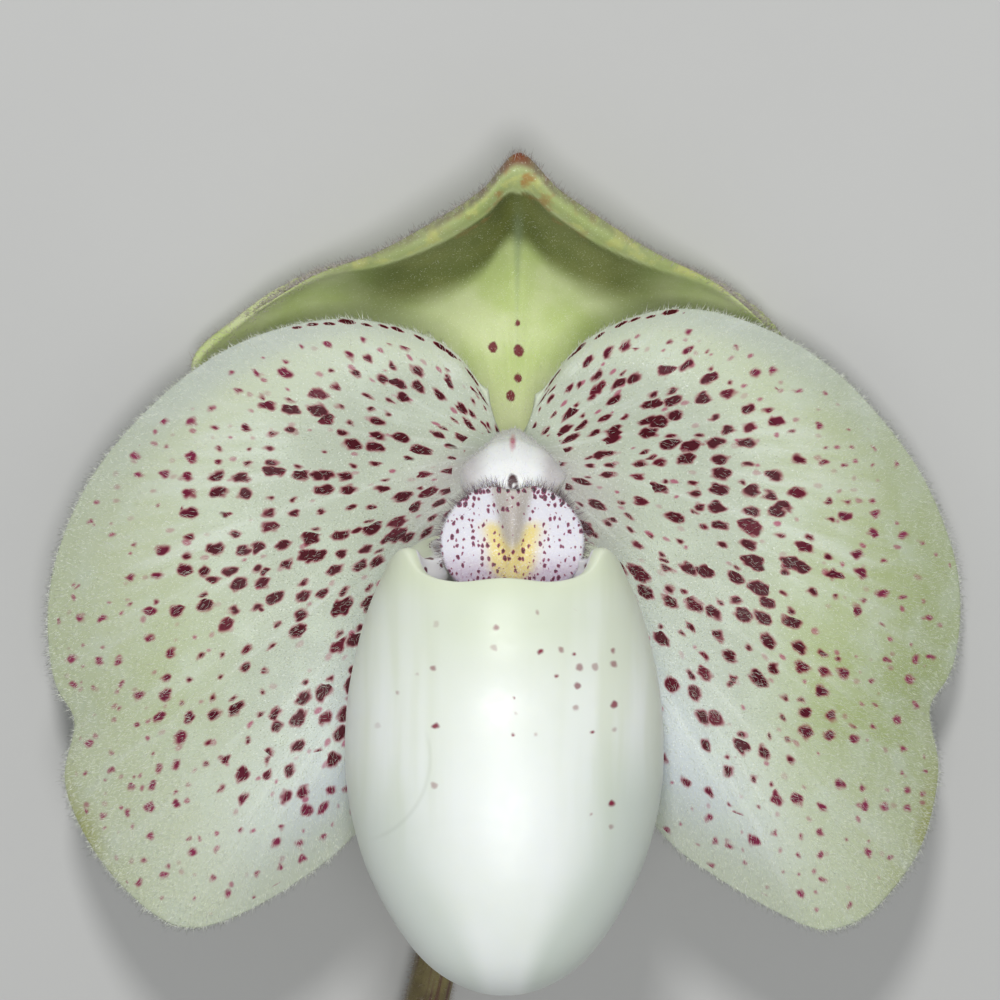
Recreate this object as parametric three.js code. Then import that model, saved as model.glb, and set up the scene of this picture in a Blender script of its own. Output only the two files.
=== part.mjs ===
// A slipper orchid bloom: one spotted flower of the broad-petalled, short-stalked kind, picked with its
// stalk and lying face up. Millimetres, +Z up, origin on the surface under the middle of its box.
//
// Every organ is shaped in the bloom's own frame: +X to the right of someone facing the flower, +Y towards
// the tip of the hood, +Z out of the face. The group at the end tips that frame over until the flower lies
// on two low points at the back of its hood and on the bract under its ovary.

import * as THREE from 'three';
import { mergeVertices } from 'three/addons/utils/BufferGeometryUtils.js';

// ---------------------------------------------------------------- driving dimensions
const flowerAxis = new THREE.Vector2(0, 2.5); // where the organs meet, in the plane of the face
const seatGap = 0.3; // clearance at each seat

const petalFoot = { radius: 3.1, z: -2.2 }; // inner whorl, round the foot of the column
const sepalFoot = { radius: 3.5, z: -3.9 }; // outer whorl, behind the petals
const petalThickness = { base: 1.15, edge: 0.7 };
const sepalThickness = { base: 1.15, edge: 0.75 };

const pouchMidX = -0.6; // the pouch hangs slightly to one side
const pouchWall = 1.0;
const pouchToe = { y: -36.9, z: 12.4 };
const pouchMouthZ = 8.8; // height of the middle of the mouth

const staminodeCentre = new THREE.Vector3(0, -3.2, 10.2);
const staminodeHalf = { width: 5.45, height: 4.6 };
const staminodeSwell = 1.5;
const staminodeGroove = 1.7;
const staminodeThickness = 0.9;
const staminodeTilt = THREE.MathUtils.degToRad(18);
const staminodeNotch = { depth: 0.13, width: 0.24 }; // between its lobes: share of its size, radians
const stigmaSeat = { y: -1.4, z: 4.4, slope: -0.35 }; // just under the column
const antherSeat = { x: 3.4, y: -1.3, z: 5.2, turn: 0.5, lean: 0.3 }; // one on each side of the column
const antherHalf = { x: 0.72, y: 0.95, z: 1.1 };

const ovaryTopZ = -4.7;
const ovaryLength = 34;
const ovaryRadius = { top: 2.2, middle: 2.25, foot: 1.65, widestAt: 0.35 };
const ovaryRibs = { count: 6, depth: 0.09 };
const stalkBend = { angle: THREE.MathUtils.degToRad(75), length: 4.5 }; // away from the back of the flower
const stalkLean = { angle: THREE.MathUtils.degToRad(13), start: 10, length: 14 }; // to one side
const stemLength = 32;
const stemRadius = { top: 1.65, cut: 1.85 };
const bractReach = { below: 3.5, above: 11 }; // from the joint of stem and ovary
const bractTurn = THREE.MathUtils.degToRad(55); // round the stalk, from the outer side of its bend
const bractThickness = 0.7;
const bractWrap = { angle: THREE.MathUtils.degToRad(150), taper: 0.62 }; // half the wrap at its foot

// How the picked flower lies: pitch about X, roll about Y, then moved so that its lowest points are at Z 0.
const liePitch = THREE.MathUtils.degToRad(-16.44);
const lieRoll = THREE.MathUtils.degToRad(0.76);
const lieShift = new THREE.Vector3(0.74, 18.19, 13.13);

// ---------------------------------------------------------------- outlines
// Edge of each leaf-like organ as [x, y, z], in order from where it leaves the base round to the base again.
const leftPetalEdge = [
  [-1.9, 8.4, -1.7], [-5.4, 12.2, -1.9], [-12.5, 14.1, -2.8], [-19.8, 12.8, -4.2], [-26.0, 9.2, -5.6],
  [-31.9, 3.2, -7.4], [-35.2, -2.9, -8.6], [-36.4, -8.8, -9.0], [-35.9, -15.6, -8.8], [-35.2, -22.0, -7.8],
  [-32.8, -27.0, -6.0], [-29.1, -31.0, -3.6], [-25.5, -33.0, -2.0], [-21.7, -32.3, -1.2],
  [-16.6, -29.5, -0.9], [-12.2, -25.9, -1.0], [-8.3, -19.7, -1.8], [-4.6, -10.6, -2.1], [-2.0, -3.9, -2.2],
];
const rightPetalEdge = [
  [1.9, 8.0, -1.7], [5.8, 12.5, -1.9], [11.8, 14.8, -2.7], [18.0, 14.0, -3.8], [24.9, 10.3, -5.4],
  [31.1, 3.5, -7.5], [34.3, -3.0, -8.8], [35.2, -8.4, -9.0], [34.5, -14.6, -8.8], [33.6, -21.2, -7.8],
  [31.9, -27.0, -6.0], [28.4, -31.4, -3.6], [25.5, -33.0, -2.2], [22.5, -32.8, -1.4], [15.9, -29.2, -0.9],
  [11.3, -25.5, -1.0], [7.4, -18.9, -1.8], [4.2, -10.4, -2.1], [1.9, -3.9, -2.2],
];
const hoodEdge = [
  [5.7, 2.6, -4.4], [13.4, 5.0, -5.6], [19.3, 8.4, -6.8], [20.9, 11.8, -6.6], [16.6, 16.4, -4.2],
  [11.2, 19.1, -1.4], [7.3, 21.4, 0.9], [3.6, 23.9, 2.3], [0.5, 26.6, 2.9], [-2.4, 23.8, 2.2],
  [-6.0, 21.5, 1.1], [-10.6, 19.1, -1.1], [-15.7, 17.3, -3.4], [-20.9, 13.8, -5.7], [-24.4, 10.4, -6.8],
  [-21.3, 6.7, -6.8], [-13.8, 4.1, -5.8], [-5.8, 2.4, -4.4],
];
const synsepalEdge = [
  [-4.4, -0.4, -4.2], [-7.6, -4.6, -4.4], [-8.9, -10.0, -4.8], [-8.1, -15.6, -4.8], [-5.4, -20.6, -4.2],
  [-0.8, -23.8, -3.6], [4.0, -20.8, -4.2], [6.9, -15.8, -4.8], [7.9, -10.2, -4.8], [6.9, -4.8, -4.4],
  [4.4, -0.4, -4.2],
];

// Pouch: level sections from the toe up, as [y, half width, half depth, z of the middle].
const pouchSections = [
  [-36.3, 3.0, 2.6, 12.4], [-34.4, 5.9, 5.1, 12.2], [-31.0, 8.5, 7.3, 11.8], [-26.6, 10.6, 9.0, 11.3],
  [-21.2, 11.8, 10.0, 10.8], [-15.6, 11.8, 9.9, 10.4], [-11.2, 11.05, 9.0, 9.9], [-7.6, 10.0, 8.2, 9.6],
];
// Mouth of the pouch, right half, from the middle of the front lip past the horn and the folded-in side lobe
// to the claw at the back: [x from the pouch's middle, y, z].
const pouchMouth = [
  [0.0, -5.6, 17.0], [3.6, -5.9, 16.6], [6.1, -5.2, 15.4], [7.5, -3.4, 13.6], [8.5, -4.3, 11.2],
  [7.9, -4.0, 8.8], [6.9, -3.2, 6.2], [5.6, -2.6, 3.6], [3.0, -1.9, 1.4], [0.0, -1.4, 0.4],
];

// ---------------------------------------------------------------- small tools
const smooth = (x) => x * x * (3 - 2 * x);
const clamp01 = (x) => Math.min(1, Math.max(0, x));
const pulse = (x, centre, width) => Math.exp(-(((x - centre) / width) ** 2));
const radians = THREE.MathUtils.degToRad;
const vector = (...xyz) => new THREE.Vector3(...xyz);

function curveThrough(points, closed = false) {
  return new THREE.CatmullRomCurve3(points.map((p) => vector(...p)), closed, 'catmullrom', 0.5);
}

// A closed mesh from points and triangles: equal points merged, flat triangles dropped, faces outwards.
function closedBody(points, triangles) {
  const loose = new THREE.BufferGeometry();
  loose.setAttribute('position', new THREE.Float32BufferAttribute(points.flatMap((p) => p.toArray()), 3));
  loose.setIndex(triangles.flat());
  const merged = mergeVertices(loose, 1e-4);
  const corner = merged.index.array;
  const at = (k) => vector().fromBufferAttribute(merged.attributes.position, k);
  const kept = [];
  let volume = 0;
  for (let k = 0; k < corner.length; k += 3) {
    const [a, b, c] = [corner[k], corner[k + 1], corner[k + 2]];
    if (a === b || b === c || a === c) continue;
    kept.push([a, b, c]);
    volume += at(a).dot(at(b).cross(at(c)));
  }
  merged.setIndex((volume < 0 ? kept.map(([a, b, c]) => [a, c, b]) : kept).flat());
  merged.computeVertexNormals();
  return merged;
}

// A thin solid between two faces given over the same square, with a strip round their edge. Both faces are
// cut into triangles alike, so that they never cross where the sheet waves.
function sheetSolid(front, back, rows, columns) {
  const points = [];
  for (const face of [front, back]) {
    for (let i = 0; i <= rows; i++) {
      for (let j = 0; j <= columns; j++) points.push(face(i / rows, j / columns));
    }
  }
  const behind = points.length / 2;
  const at = (i, j) => i * (columns + 1) + j;
  const triangles = [];
  for (let i = 0; i < rows; i++) {
    for (let j = 0; j < columns; j++) {
      const [a, b, c, d] = [at(i, j), at(i + 1, j), at(i + 1, j + 1), at(i, j + 1)];
      triangles.push([a, b, c], [a, c, d]);
      triangles.push([behind + a, behind + c, behind + b], [behind + a, behind + d, behind + c]);
    }
  }
  const strip = (a, b) => triangles.push([a, b, behind + b], [a, behind + b, behind + a]);
  for (let j = 0; j < columns; j++) {
    strip(at(0, j), at(0, j + 1));
    strip(at(rows, j + 1), at(rows, j));
  }
  for (let i = 0; i < rows; i++) {
    strip(at(i + 1, 0), at(i, 0));
    strip(at(i, columns), at(i + 1, columns));
  }
  return closedBody(points, triangles);
}

// A leaf-like solid: its face, and the same face set back by its thickness.
function leafSolid(face, thickness, rows, columns) {
  const step = 1e-3;
  const back = (t, w) => {
    const along = face(Math.min(1, t + step), w).sub(face(Math.max(0, t - step), w));
    const across = face(t, Math.min(1, w + step)).sub(face(t, Math.max(0, w - step)));
    const normal = along.cross(across).normalize();
    if (normal.z < 0) normal.negate();
    return face(t, w).addScaledVector(normal, -thickness.base - (thickness.edge - thickness.base) * t);
  };
  return sheetSolid(face, back, rows, columns);
}

// A solid lofted through rings of points, closed at both ends by a fan.
function loftSolid(rings) {
  const sides = rings[0].length;
  const middle = (ring) => ring.reduce((sum, p) => sum.add(p), vector()).divideScalar(sides);
  const points = [...rings.flat(), middle(rings[0]), middle(rings.at(-1))];
  const at = (i, j) => i * sides + (j % sides);
  const [first, last] = [points.length - 2, points.length - 1];
  const triangles = [];
  for (let j = 0; j < sides; j++) {
    triangles.push([first, at(0, j + 1), at(0, j)]);
    triangles.push([last, at(rings.length - 1, j), at(rings.length - 1, j + 1)]);
    for (let i = 0; i + 1 < rings.length; i++) {
      triangles.push([at(i, j), at(i, j + 1), at(i + 1, j + 1)], [at(i, j), at(i + 1, j + 1), at(i + 1, j)]);
    }
  }
  return closedBody(points, triangles);
}

// One ring for a loft: an oval about a centre, of the two half sizes that radii gives for each angle.
function oval(centre, sideways, upwards, sides, radii) {
  return Array.from({ length: sides }, (_, j) => {
    const angle = (2 * Math.PI * j) / sides;
    const [wide, high] = radii(angle);
    return centre.clone()
      .addScaledVector(sideways, wide * Math.cos(angle))
      .addScaledVector(upwards, high * Math.sin(angle));
  });
}

function piece(name, geometry, colour, roughness) {
  const material = new THREE.MeshStandardMaterial({ color: colour, roughness, metalness: 0 });
  const mesh = new THREE.Mesh(geometry, material);
  mesh.name = name;
  return mesh;
}

// ---------------------------------------------------------------- petals and sepals
// A fan of veins: t runs out from the foot of the column to the edge, w runs round the edge. from and to are
// the angles, in degrees, at which the first and last vein leave the foot.
function fan({ edge, from, to, foot, relief }) {
  const rim = curveThrough(edge);
  return (t, w) => {
    const angle = radians(from + (to - from) * w);
    const start = vector(
      flowerAxis.x + foot.radius * Math.cos(angle), flowerAxis.y + foot.radius * Math.sin(angle), foot.z);
    const end = rim.getPoint(w);
    return relief(start.clone().lerp(end, t), t, w);
  };
}

// A petal rises from a pocket beside the column to a broad dome and curls back at its edge. A shallow valley
// runs out along one vein to a notch in the edge, and faint folds follow the others.
const petalDome = { height: 8.6, skew: 1.5, sides: 1.1 };
const petalValley = { at: 0.49, width: 0.075, depth: 1.5 };
const petalNotch = { at: 0.467, width: 0.022, depth: 1.7, lift: 1.2 };
const petalFolds = { height: 0.22, count: 5.5 };
function petalRelief(point, t, w) {
  const across = Math.sin(Math.PI * clamp01(w)) ** petalDome.sides;
  const dome = petalDome.height * across * Math.sin(Math.PI * t ** petalDome.skew);
  const valley = -petalValley.depth * pulse(w, petalValley.at, petalValley.width) * smooth(t) * (1.7 - t);
  const folds = petalFolds.height * Math.sin(2 * Math.PI * petalFolds.count * w) * across * t * t;
  const notch = pulse(w, petalNotch.at, petalNotch.width) * t ** 7;
  const inwards = vector(flowerAxis.x - point.x, flowerAxis.y - point.y, 0).normalize();
  point.z += dome + valley + folds + petalNotch.lift * notch;
  return point.addScaledVector(inwards, petalNotch.depth * notch);
}

// The hood bellies out behind, then comes forward to a rim that turns outwards. The rim is widest at the tip and
// runs out on both sides; its width is a share of the way from foot to edge.
const hoodBelly = { middle: 6.7, side: 4.6, skew: 1.3 };
const hoodRim = { tip: 0.155, side: 0.09, tipSpan: 0.035, fadeFrom: 0.12, fadeSpan: 0.13, flare: 0.9 };
const hoodKeel = { at: 0.47, width: 0.03, depth: 0.35 };
function hoodRimWidth(w) {
  const off = Math.abs(w - hoodKeel.at);
  const side = hoodRim.side * (1 - smooth(clamp01((off - hoodRim.fadeFrom) / hoodRim.fadeSpan)));
  return side + (hoodRim.tip - hoodRim.side) * pulse(off, 0, hoodRim.tipSpan);
}
function hoodRelief(point, t, w) {
  const middle = Math.sin(Math.PI * w) ** 1.2;
  const width = hoodRimWidth(w);
  const rimStart = 1 - width;
  const depth = hoodBelly.side + (hoodBelly.middle - hoodBelly.side) * middle;
  const belly = depth * Math.sqrt(Math.sin(Math.PI * (0.08 + 0.84 * w)));
  const keel = hoodKeel.depth * pulse(w, hoodKeel.at, hoodKeel.width) * Math.sin(Math.PI * t);
  point.z -= belly * Math.sin(Math.PI * clamp01(t / rimStart) ** hoodBelly.skew) + keel;
  const outside = clamp01((t - rimStart) / Math.max(1e-6, width));
  point.z += hoodRim.flare * middle * Math.min(1, width / hoodRim.side) * Math.sin(Math.PI * outside);
  return point;
}

const synsepalBelly = 1.8;
function synsepalRelief(point, t, w) {
  point.z -= synsepalBelly * Math.sin(Math.PI * w) * Math.sin(Math.PI * t);
  return point;
}

function leafOrgans() {
  const [cream, green] = [0xc6cfbd, 0xc3cf95];
  const petal = (edge, from, to) => fan({ edge, from, to, foot: petalFoot, relief: petalRelief });
  const hood = fan({ edge: hoodEdge, from: -14, to: 194, foot: sepalFoot, relief: hoodRelief });
  const synsepal = fan({ edge: synsepalEdge, from: 206, to: 334, foot: sepalFoot, relief: synsepalRelief });
  return [
    piece('petal_left', leafSolid(petal(leftPetalEdge, 108, 252), petalThickness, 11, 30), cream, 0.6),
    piece('petal_right', leafSolid(petal(rightPetalEdge, 72, -72), petalThickness, 11, 30), cream, 0.6),
    piece('dorsal_sepal', leafSolid(hood, sepalThickness, 13, 28), green, 0.65),
    piece('synsepal', leafSolid(synsepal, sepalThickness, 6, 16), green, 0.65),
  ];
}

// ---------------------------------------------------------------- lip
// A thick-walled pouch. h runs from the toe (0) to the mouth (1), turn goes round it and inset moves the
// wall inwards.
function pouchPoint(h, turn, inset) {
  const [c, s] = [Math.cos(turn), Math.sin(turn)];
  const widest = Math.max(...pouchSections.map((section) => section[1]));
  const level = ([y, half, depth, z]) => vector(
    pouchMidX + (half - inset) * c, y + inset * (1 - half / widest), z + (depth - inset) * s);
  const mirrored = [...pouchMouth, ...pouchMouth.slice(1, -1).reverse().map(([x, y, z]) => [-x, y, z])];
  const lap = THREE.MathUtils.euclideanModulo(0.25 - turn / (2 * Math.PI), 1); // a quarter turn is the front
  const mouth = curveThrough(mirrored, true).getPoint(lap).add(vector(pouchMidX, 0, 0));
  const inwards = vector(pouchMidX, mouth.y - 4, pouchMouthZ).sub(mouth).normalize();
  mouth.addScaledVector(inwards, inset);
  const toe = vector(pouchMidX, pouchToe.y + inset, pouchToe.z);
  const levels = pouchSections.map(level);
  const across = vector(2 * pouchMidX - levels[0].x, levels[0].y, 2 * pouchToe.z - levels[0].z);
  const profile = new THREE.CatmullRomCurve3([across, toe, ...levels, mouth], false, 'catmullrom', 0.5);
  const spans = levels.length + 2;
  return profile.getPoint((1 + h * (spans - 1)) / spans);
}

function pouch() {
  const [rows, sides] = [14, 32];
  const wall = (inset) => Array.from({ length: rows + 1 }, (_, i) =>
    Array.from({ length: sides }, (_, j) => pouchPoint(i / rows, (2 * Math.PI * j) / sides, inset)));
  return piece('lip_pouch', loftSolid([...wall(0), ...wall(pouchWall).reverse()]), 0xe8eee2, 0.35);
}

// ---------------------------------------------------------------- column and what it carries
// Sections of the column as [y, z, half width, half height], from its foot to behind the staminode.
const columnSections = [
  [2.5, -4.4, 2.6, 2.6], [2.5, -2.4, 2.6, 2.6], [2.5, -1.0, 2.8, 3.0], [2.3, 1.0, 3.2, 2.8],
  [2.1, 2.6, 3.7, 2.7], [1.8, 4.2, 4.0, 2.6], [1.2, 5.8, 3.4, 2.0], [0.8, 6.8, 1.8, 1.1],
];
function column() {
  const rings = columnSections.map(([y, z, wide, high]) =>
    oval(vector(0, y, z), vector(1, 0, 0), vector(0, 1, 0), 20, () => [wide, high]));
  return piece('column', loftSolid(rings), 0xecf1ec, 0.5);
}

// A shield of two swollen lobes with a groove between them, over the mouth of the pouch.
function staminodePoint(r, turn) {
  const notch = 1 - staminodeNotch.depth * pulse(turn, Math.PI / 2, staminodeNotch.width);
  const x = r * staminodeHalf.width * notch * Math.cos(turn);
  const y = r * staminodeHalf.height * notch * Math.sin(turn);
  const groove = staminodeGroove * pulse(x, 0, 0.95) * smooth(clamp01((y + 2.6) / 4)) * (1 - 0.5 * r ** 4);
  const swell = staminodeSwell * (1 - r * r);
  return vector(x, y, swell - groove - Math.tan(staminodeTilt) * y).add(staminodeCentre);
}

function staminode() {
  const [rows, sides] = [6, 30];
  const lap = (r, drop) => Array.from({ length: sides }, (_, j) =>
    staminodePoint(r, (2 * Math.PI * j) / sides).sub(vector(0, 0, drop)));
  const front = Array.from({ length: rows }, (_, i) => lap((i + 1) / rows, 0));
  const back = Array.from({ length: rows }, (_, i) => lap(0.98 * (1 - i / rows), staminodeThickness));
  return piece('staminode', loftSolid([...front, ...back]), 0xe4dfe4, 0.55);
}

// The stigma hangs from the underside of the column on a short neck: [distance below the column, radius].
const stigmaProfile = [[0, 0.8], [0.7, 0.8], [1.1, 1.7], [1.7, 1.75], [2.1, 1.2]];
function stigma() {
  const down = vector(0, -1, stigmaSeat.slope).normalize();
  const forward = vector(0, down.z, -down.y);
  const seat = vector(0, stigmaSeat.y, stigmaSeat.z);
  const rings = stigmaProfile.map(([drop, radius]) =>
    oval(seat.clone().addScaledVector(down, drop), vector(1, 0, 0), forward, 16, () => [radius, radius]));
  return piece('stigma', loftSolid(rings), 0xe2e8cf, 0.4);
}

function anther(name, side) {
  const bean = new THREE.SphereGeometry(1, 12, 8).scale(antherHalf.x, antherHalf.y, antherHalf.z);
  const mesh = piece(name, bean, 0xe3c85f, 0.45);
  mesh.position.set(side * antherSeat.x, antherSeat.y, antherSeat.z);
  mesh.rotation.set(antherSeat.lean, 0, side * -antherSeat.turn);
  return mesh;
}

// ---------------------------------------------------------------- ovary, bract and stem
// The stalk leaves the back of the flower square, then turns towards the foot of the plant. Its places are
// stepped off one after another: where it is, which way it runs, its left and its outer side.
function stalkPlaces(length, step) {
  const at = vector(flowerAxis.x, flowerAxis.y, ovaryTopZ);
  const places = [];
  for (let s = 0; s <= length; s += step) {
    const bend = stalkBend.angle * (1 - Math.exp(-s / stalkBend.length));
    const lean = stalkLean.angle * smooth(clamp01((s - stalkLean.start) / stalkLean.length));
    const sideways = vector(Math.cos(lean), -Math.sin(lean), 0);
    const backwards = vector(-Math.sin(lean), -Math.cos(lean), 0);
    const forward = backwards.multiplyScalar(Math.sin(bend)).add(vector(0, 0, -Math.cos(bend)));
    places.push({ at: at.clone(), forward, sideways, outwards: sideways.clone().cross(forward) });
    at.addScaledVector(forward, step);
  }
  return places;
}
const stalkStep = 0.25;
const stalk = stalkPlaces(ovaryLength + seatGap + stemLength + stalkStep, stalkStep);
const placeAt = (s) => stalk[Math.round(s / stalkStep)];

function ovaryGirth(t) {
  const { top, middle, foot, widestAt } = ovaryRadius;
  if (t < widestAt) return top + (middle - top) * smooth(t / widestAt);
  return middle + (foot - middle) * smooth((t - widestAt) / (1 - widestAt));
}

function ovary() {
  const [rows, sides] = [20, 24];
  const rings = Array.from({ length: rows + 1 }, (_, i) => {
    const t = i / rows;
    const ribs = ovaryRibs.depth * smooth(clamp01(t * 6)) * smooth(clamp01((1 - t) * 3));
    const { at, sideways, outwards } = placeAt(t * ovaryLength);
    return oval(at, sideways, outwards, sides, (angle) => {
      const radius = ovaryGirth(t) * (1 + ribs * Math.cos(ovaryRibs.count * angle));
      return [radius, radius];
    });
  });
  return piece('ovary', loftSolid(rings), 0x8d8f5c, 0.7);
}

function stem() {
  const rows = 8;
  const rings = Array.from({ length: rows + 1 }, (_, i) => {
    const t = i / rows;
    const { at, sideways, outwards } = placeAt(ovaryLength + seatGap + t * stemLength);
    const radius = stemRadius.top + (stemRadius.cut - stemRadius.top) * t;
    return oval(at, sideways, outwards, 16, () => [radius, radius]);
  });
  return piece('stem', loftSolid(rings), 0x74694a, 0.75);
}

// The bract sheathes the joint of stem and ovary and runs up along the outer side of the bend to a point.
function bractPoint(t, w, lift) {
  const s = ovaryLength + bractReach.below - t * (bractReach.below + bractReach.above);
  const { at, sideways, outwards } = placeAt(s);
  const open = bractWrap.angle * (1 - t) ** bractWrap.taper + 0.02; // a hair's breadth is left at the tip
  const angle = Math.PI / 2 + bractTurn + open * (2 * w - 1);
  const inside = Math.max(stemRadius.top, ovaryGirth(clamp01(s / ovaryLength)) * (1 + ovaryRibs.depth));
  const radius = inside + seatGap + 0.05 + lift;
  return at.clone()
    .addScaledVector(sideways, radius * Math.cos(angle))
    .addScaledVector(outwards, radius * Math.sin(angle));
}

function bract() {
  const face = (lift) => (t, w) => bractPoint(t, w, lift);
  return piece('bract', sheetSolid(face(bractThickness), face(0), 10, 14), 0x8a9a55, 0.6);
}

// ---------------------------------------------------------------- the picked flower, lying face up
const bloom = new THREE.Group();
bloom.add(...leafOrgans(), pouch(), column(), staminode(), stigma());
bloom.add(anther('anther_left', -1), anther('anther_right', 1), ovary(), bract(), stem());
bloom.rotation.set(liePitch, lieRoll, 0);
bloom.position.copy(lieShift);

const orchid = new THREE.Group();
orchid.add(bloom);
export default orchid;
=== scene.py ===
import math

import bpy
import numpy as np
from mathutils import Matrix


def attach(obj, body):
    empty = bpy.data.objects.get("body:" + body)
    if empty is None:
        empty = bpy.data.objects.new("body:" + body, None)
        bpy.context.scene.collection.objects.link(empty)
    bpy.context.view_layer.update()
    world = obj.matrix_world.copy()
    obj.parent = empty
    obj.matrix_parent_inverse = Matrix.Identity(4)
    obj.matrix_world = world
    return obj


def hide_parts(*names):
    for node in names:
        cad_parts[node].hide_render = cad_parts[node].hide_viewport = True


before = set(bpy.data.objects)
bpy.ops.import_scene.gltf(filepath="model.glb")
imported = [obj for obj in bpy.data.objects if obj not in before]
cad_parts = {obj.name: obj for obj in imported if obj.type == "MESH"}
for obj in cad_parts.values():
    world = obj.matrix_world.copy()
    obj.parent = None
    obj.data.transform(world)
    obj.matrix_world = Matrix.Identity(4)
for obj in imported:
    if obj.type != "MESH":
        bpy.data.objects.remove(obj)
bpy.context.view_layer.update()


# The bloom is shaped in its own frame in millimetres: +X to the right of someone facing it, +Y towards the
# tip of the hood, +Z out of its face. It is then tipped over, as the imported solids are, and put in metres.
lie = {"pitch": -16.44, "roll": 0.76, "shift": (0.74, 18.19, 13.13)}
lieTurn = (Matrix.Rotation(math.radians(lie["pitch"]), 3, "X")
           @ Matrix.Rotation(math.radians(lie["roll"]), 3, "Y"))
turnArray = np.array(lieTurn)
flowerAxis = np.array([0.0, 2.5])  # where the organs meet, in the plane of the face


def toRow(points):
    return (np.asarray(points, float) @ turnArray.T + np.array(lie["shift"])) / 1000


def smooth(x):
    x = np.clip(x, 0, 1)
    return x * x * (3 - 2 * x)


def rise(x, start, span):
    return smooth((x - start) / span)


def fall(x, start, span):
    return 1 - rise(x, start, span)


def pulse(x, centre, width):
    return np.exp(-(((x - centre) / width) ** 2))


def unit(v):
    return v / np.maximum(np.linalg.norm(v, axis=-1, keepdims=True), 1e-12)


def mixed(a, b, share):
    return a + (b - a) * share


def around(sides):
    return 2 * np.pi * np.arange(sides) / sides


# A smooth curve through points, at shares u of its way.
def curveThrough(points, u, closed=False):
    points, u = np.asarray(points, float), np.asarray(u, float)
    count = len(points)
    if closed:
        place = (u % 1) * count
        first = np.floor(place).astype(int)
        a, b, c, d = (points[(first + k) % count] for k in (-1, 0, 1, 2))
    else:
        place = np.clip(u, 0, 1) * (count - 1)
        first = np.minimum(np.floor(place).astype(int), count - 2)
        padded = np.concatenate([2 * points[:1] - points[1:2], points, 2 * points[-1:] - points[-2:-1]])
        a, b, c, d = (padded[first + k] for k in (0, 1, 2, 3))
    share = (place - first)[..., None]
    return 0.5 * (2 * b + (c - a) * share + (2 * a - 5 * b + 4 * c - d) * share ** 2
                  + (3 * b - a - 3 * c + d) * share ** 3)


def gridTriangles(rows, columns, wrap=False):
    stride = columns if wrap else columns + 1
    i, j = np.meshgrid(np.arange(rows), np.arange(columns), indexing="ij")
    following = (j + 1) % columns if wrap else j + 1
    a, b = i * stride + j, (i + 1) * stride + j
    c, d = (i + 1) * stride + following, i * stride + following
    return np.concatenate([np.stack([a, b, c], -1).reshape(-1, 3), np.stack([a, c, d], -1).reshape(-1, 3)])


def addObject(name, data):
    made = bpy.data.objects.new(name, data)
    bpy.context.scene.collection.objects.link(made)
    return made


# A piece that stands for a node is a closed solid; hairs name no node.
def addPiece(name, points, triangles, material, attributes, node=None):
    points = np.asarray(points, float).reshape(-1, 3)
    if node:  # equal points are merged, flat triangles dropped and faces turned outwards
        keys = np.round(points / 1e-4).astype(np.int64)
        _, first, inverse = np.unique(keys, axis=0, return_index=True, return_inverse=True)
        triangles = inverse.reshape(-1)[triangles]
        a, b, c = triangles.T
        triangles = triangles[(a != b) & (b != c) & (a != c)]
        points = points[first]
        attributes = {key: np.asarray(value, float)[first] for key, value in attributes.items()}
        a, b, c = (points[triangles[:, k]] for k in range(3))
        if np.einsum("ij,ij->i", a, np.cross(b, c)).sum() < 0:
            triangles = triangles[:, ::-1]
    points = toRow(points)
    points[:, 2] = np.maximum(points[:, 2], 0)  # nothing goes below the floor
    mesh = bpy.data.meshes.new(name)
    mesh.vertices.add(len(points))
    mesh.vertices.foreach_set("co", points.astype(np.float32).ravel())
    mesh.loops.add(3 * len(triangles))
    mesh.loops.foreach_set("vertex_index", np.ascontiguousarray(triangles).astype(np.int32).ravel())
    mesh.polygons.add(len(triangles))
    mesh.polygons.foreach_set("loop_start", np.arange(0, 3 * len(triangles), 3, dtype=np.int32))
    for key, value in attributes.items():
        value = np.asarray(value, np.float32)
        kind, field = ("FLOAT_VECTOR", "vector") if value.ndim == 2 else ("FLOAT", "value")
        mesh.attributes.new(key, kind, "POINT").data.foreach_set(field, value.ravel())
    mesh.update(calc_edges=True)
    mesh.validate()
    mesh.shade_smooth()
    mesh.materials.append(material)
    piece = addObject(name, mesh)
    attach(piece, "root")
    if node:
        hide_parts(node)
    print("  ", name, len(triangles), "triangles")
    return piece


# The middle of the first and of the last ring, each as a ring of its own.
def ringEnds(rings):
    return (np.repeat(rings[k].mean(0, keepdims=True), rings.shape[1], 0) for k in (0, -1))


def addTube(name, rings, material, attributes, node):
    rings = np.asarray(rings)
    triangles = gridTriangles(len(rings) - 1, rings.shape[1], wrap=True)
    addPiece(name, rings, triangles, material, attributes, node)


def paint(colour):  # from a screen's 0 to 255
    def linear(c):
        c /= 255
        return c / 12.92 if c <= 0.04045 else ((c + 0.055) / 1.055) ** 2.4
    return (*map(linear, colour), 1.0)


# What a look may set, with the shader's input and its usual value. Besides these it names the two ends of the
# roughness, and the strength and depth of the bump. Depths are in mm.
finishInputs = {
    "glow": ("Subsurface Weight", 0.0), "glowColour": ("Subsurface Radius", (1.0, 0.9, 0.6)),
    "glowDepth": ("Subsurface Scale", 0.6), "velvet": ("Sheen Weight", 0.0),
    "velvetRoughness": ("Sheen Roughness", 0.4), "gloss": ("Specular IOR Level", 0.4),
    "wax": ("Coat Weight", 0.0), "waxRoughness": ("Coat Roughness", 0.3),
}


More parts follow.
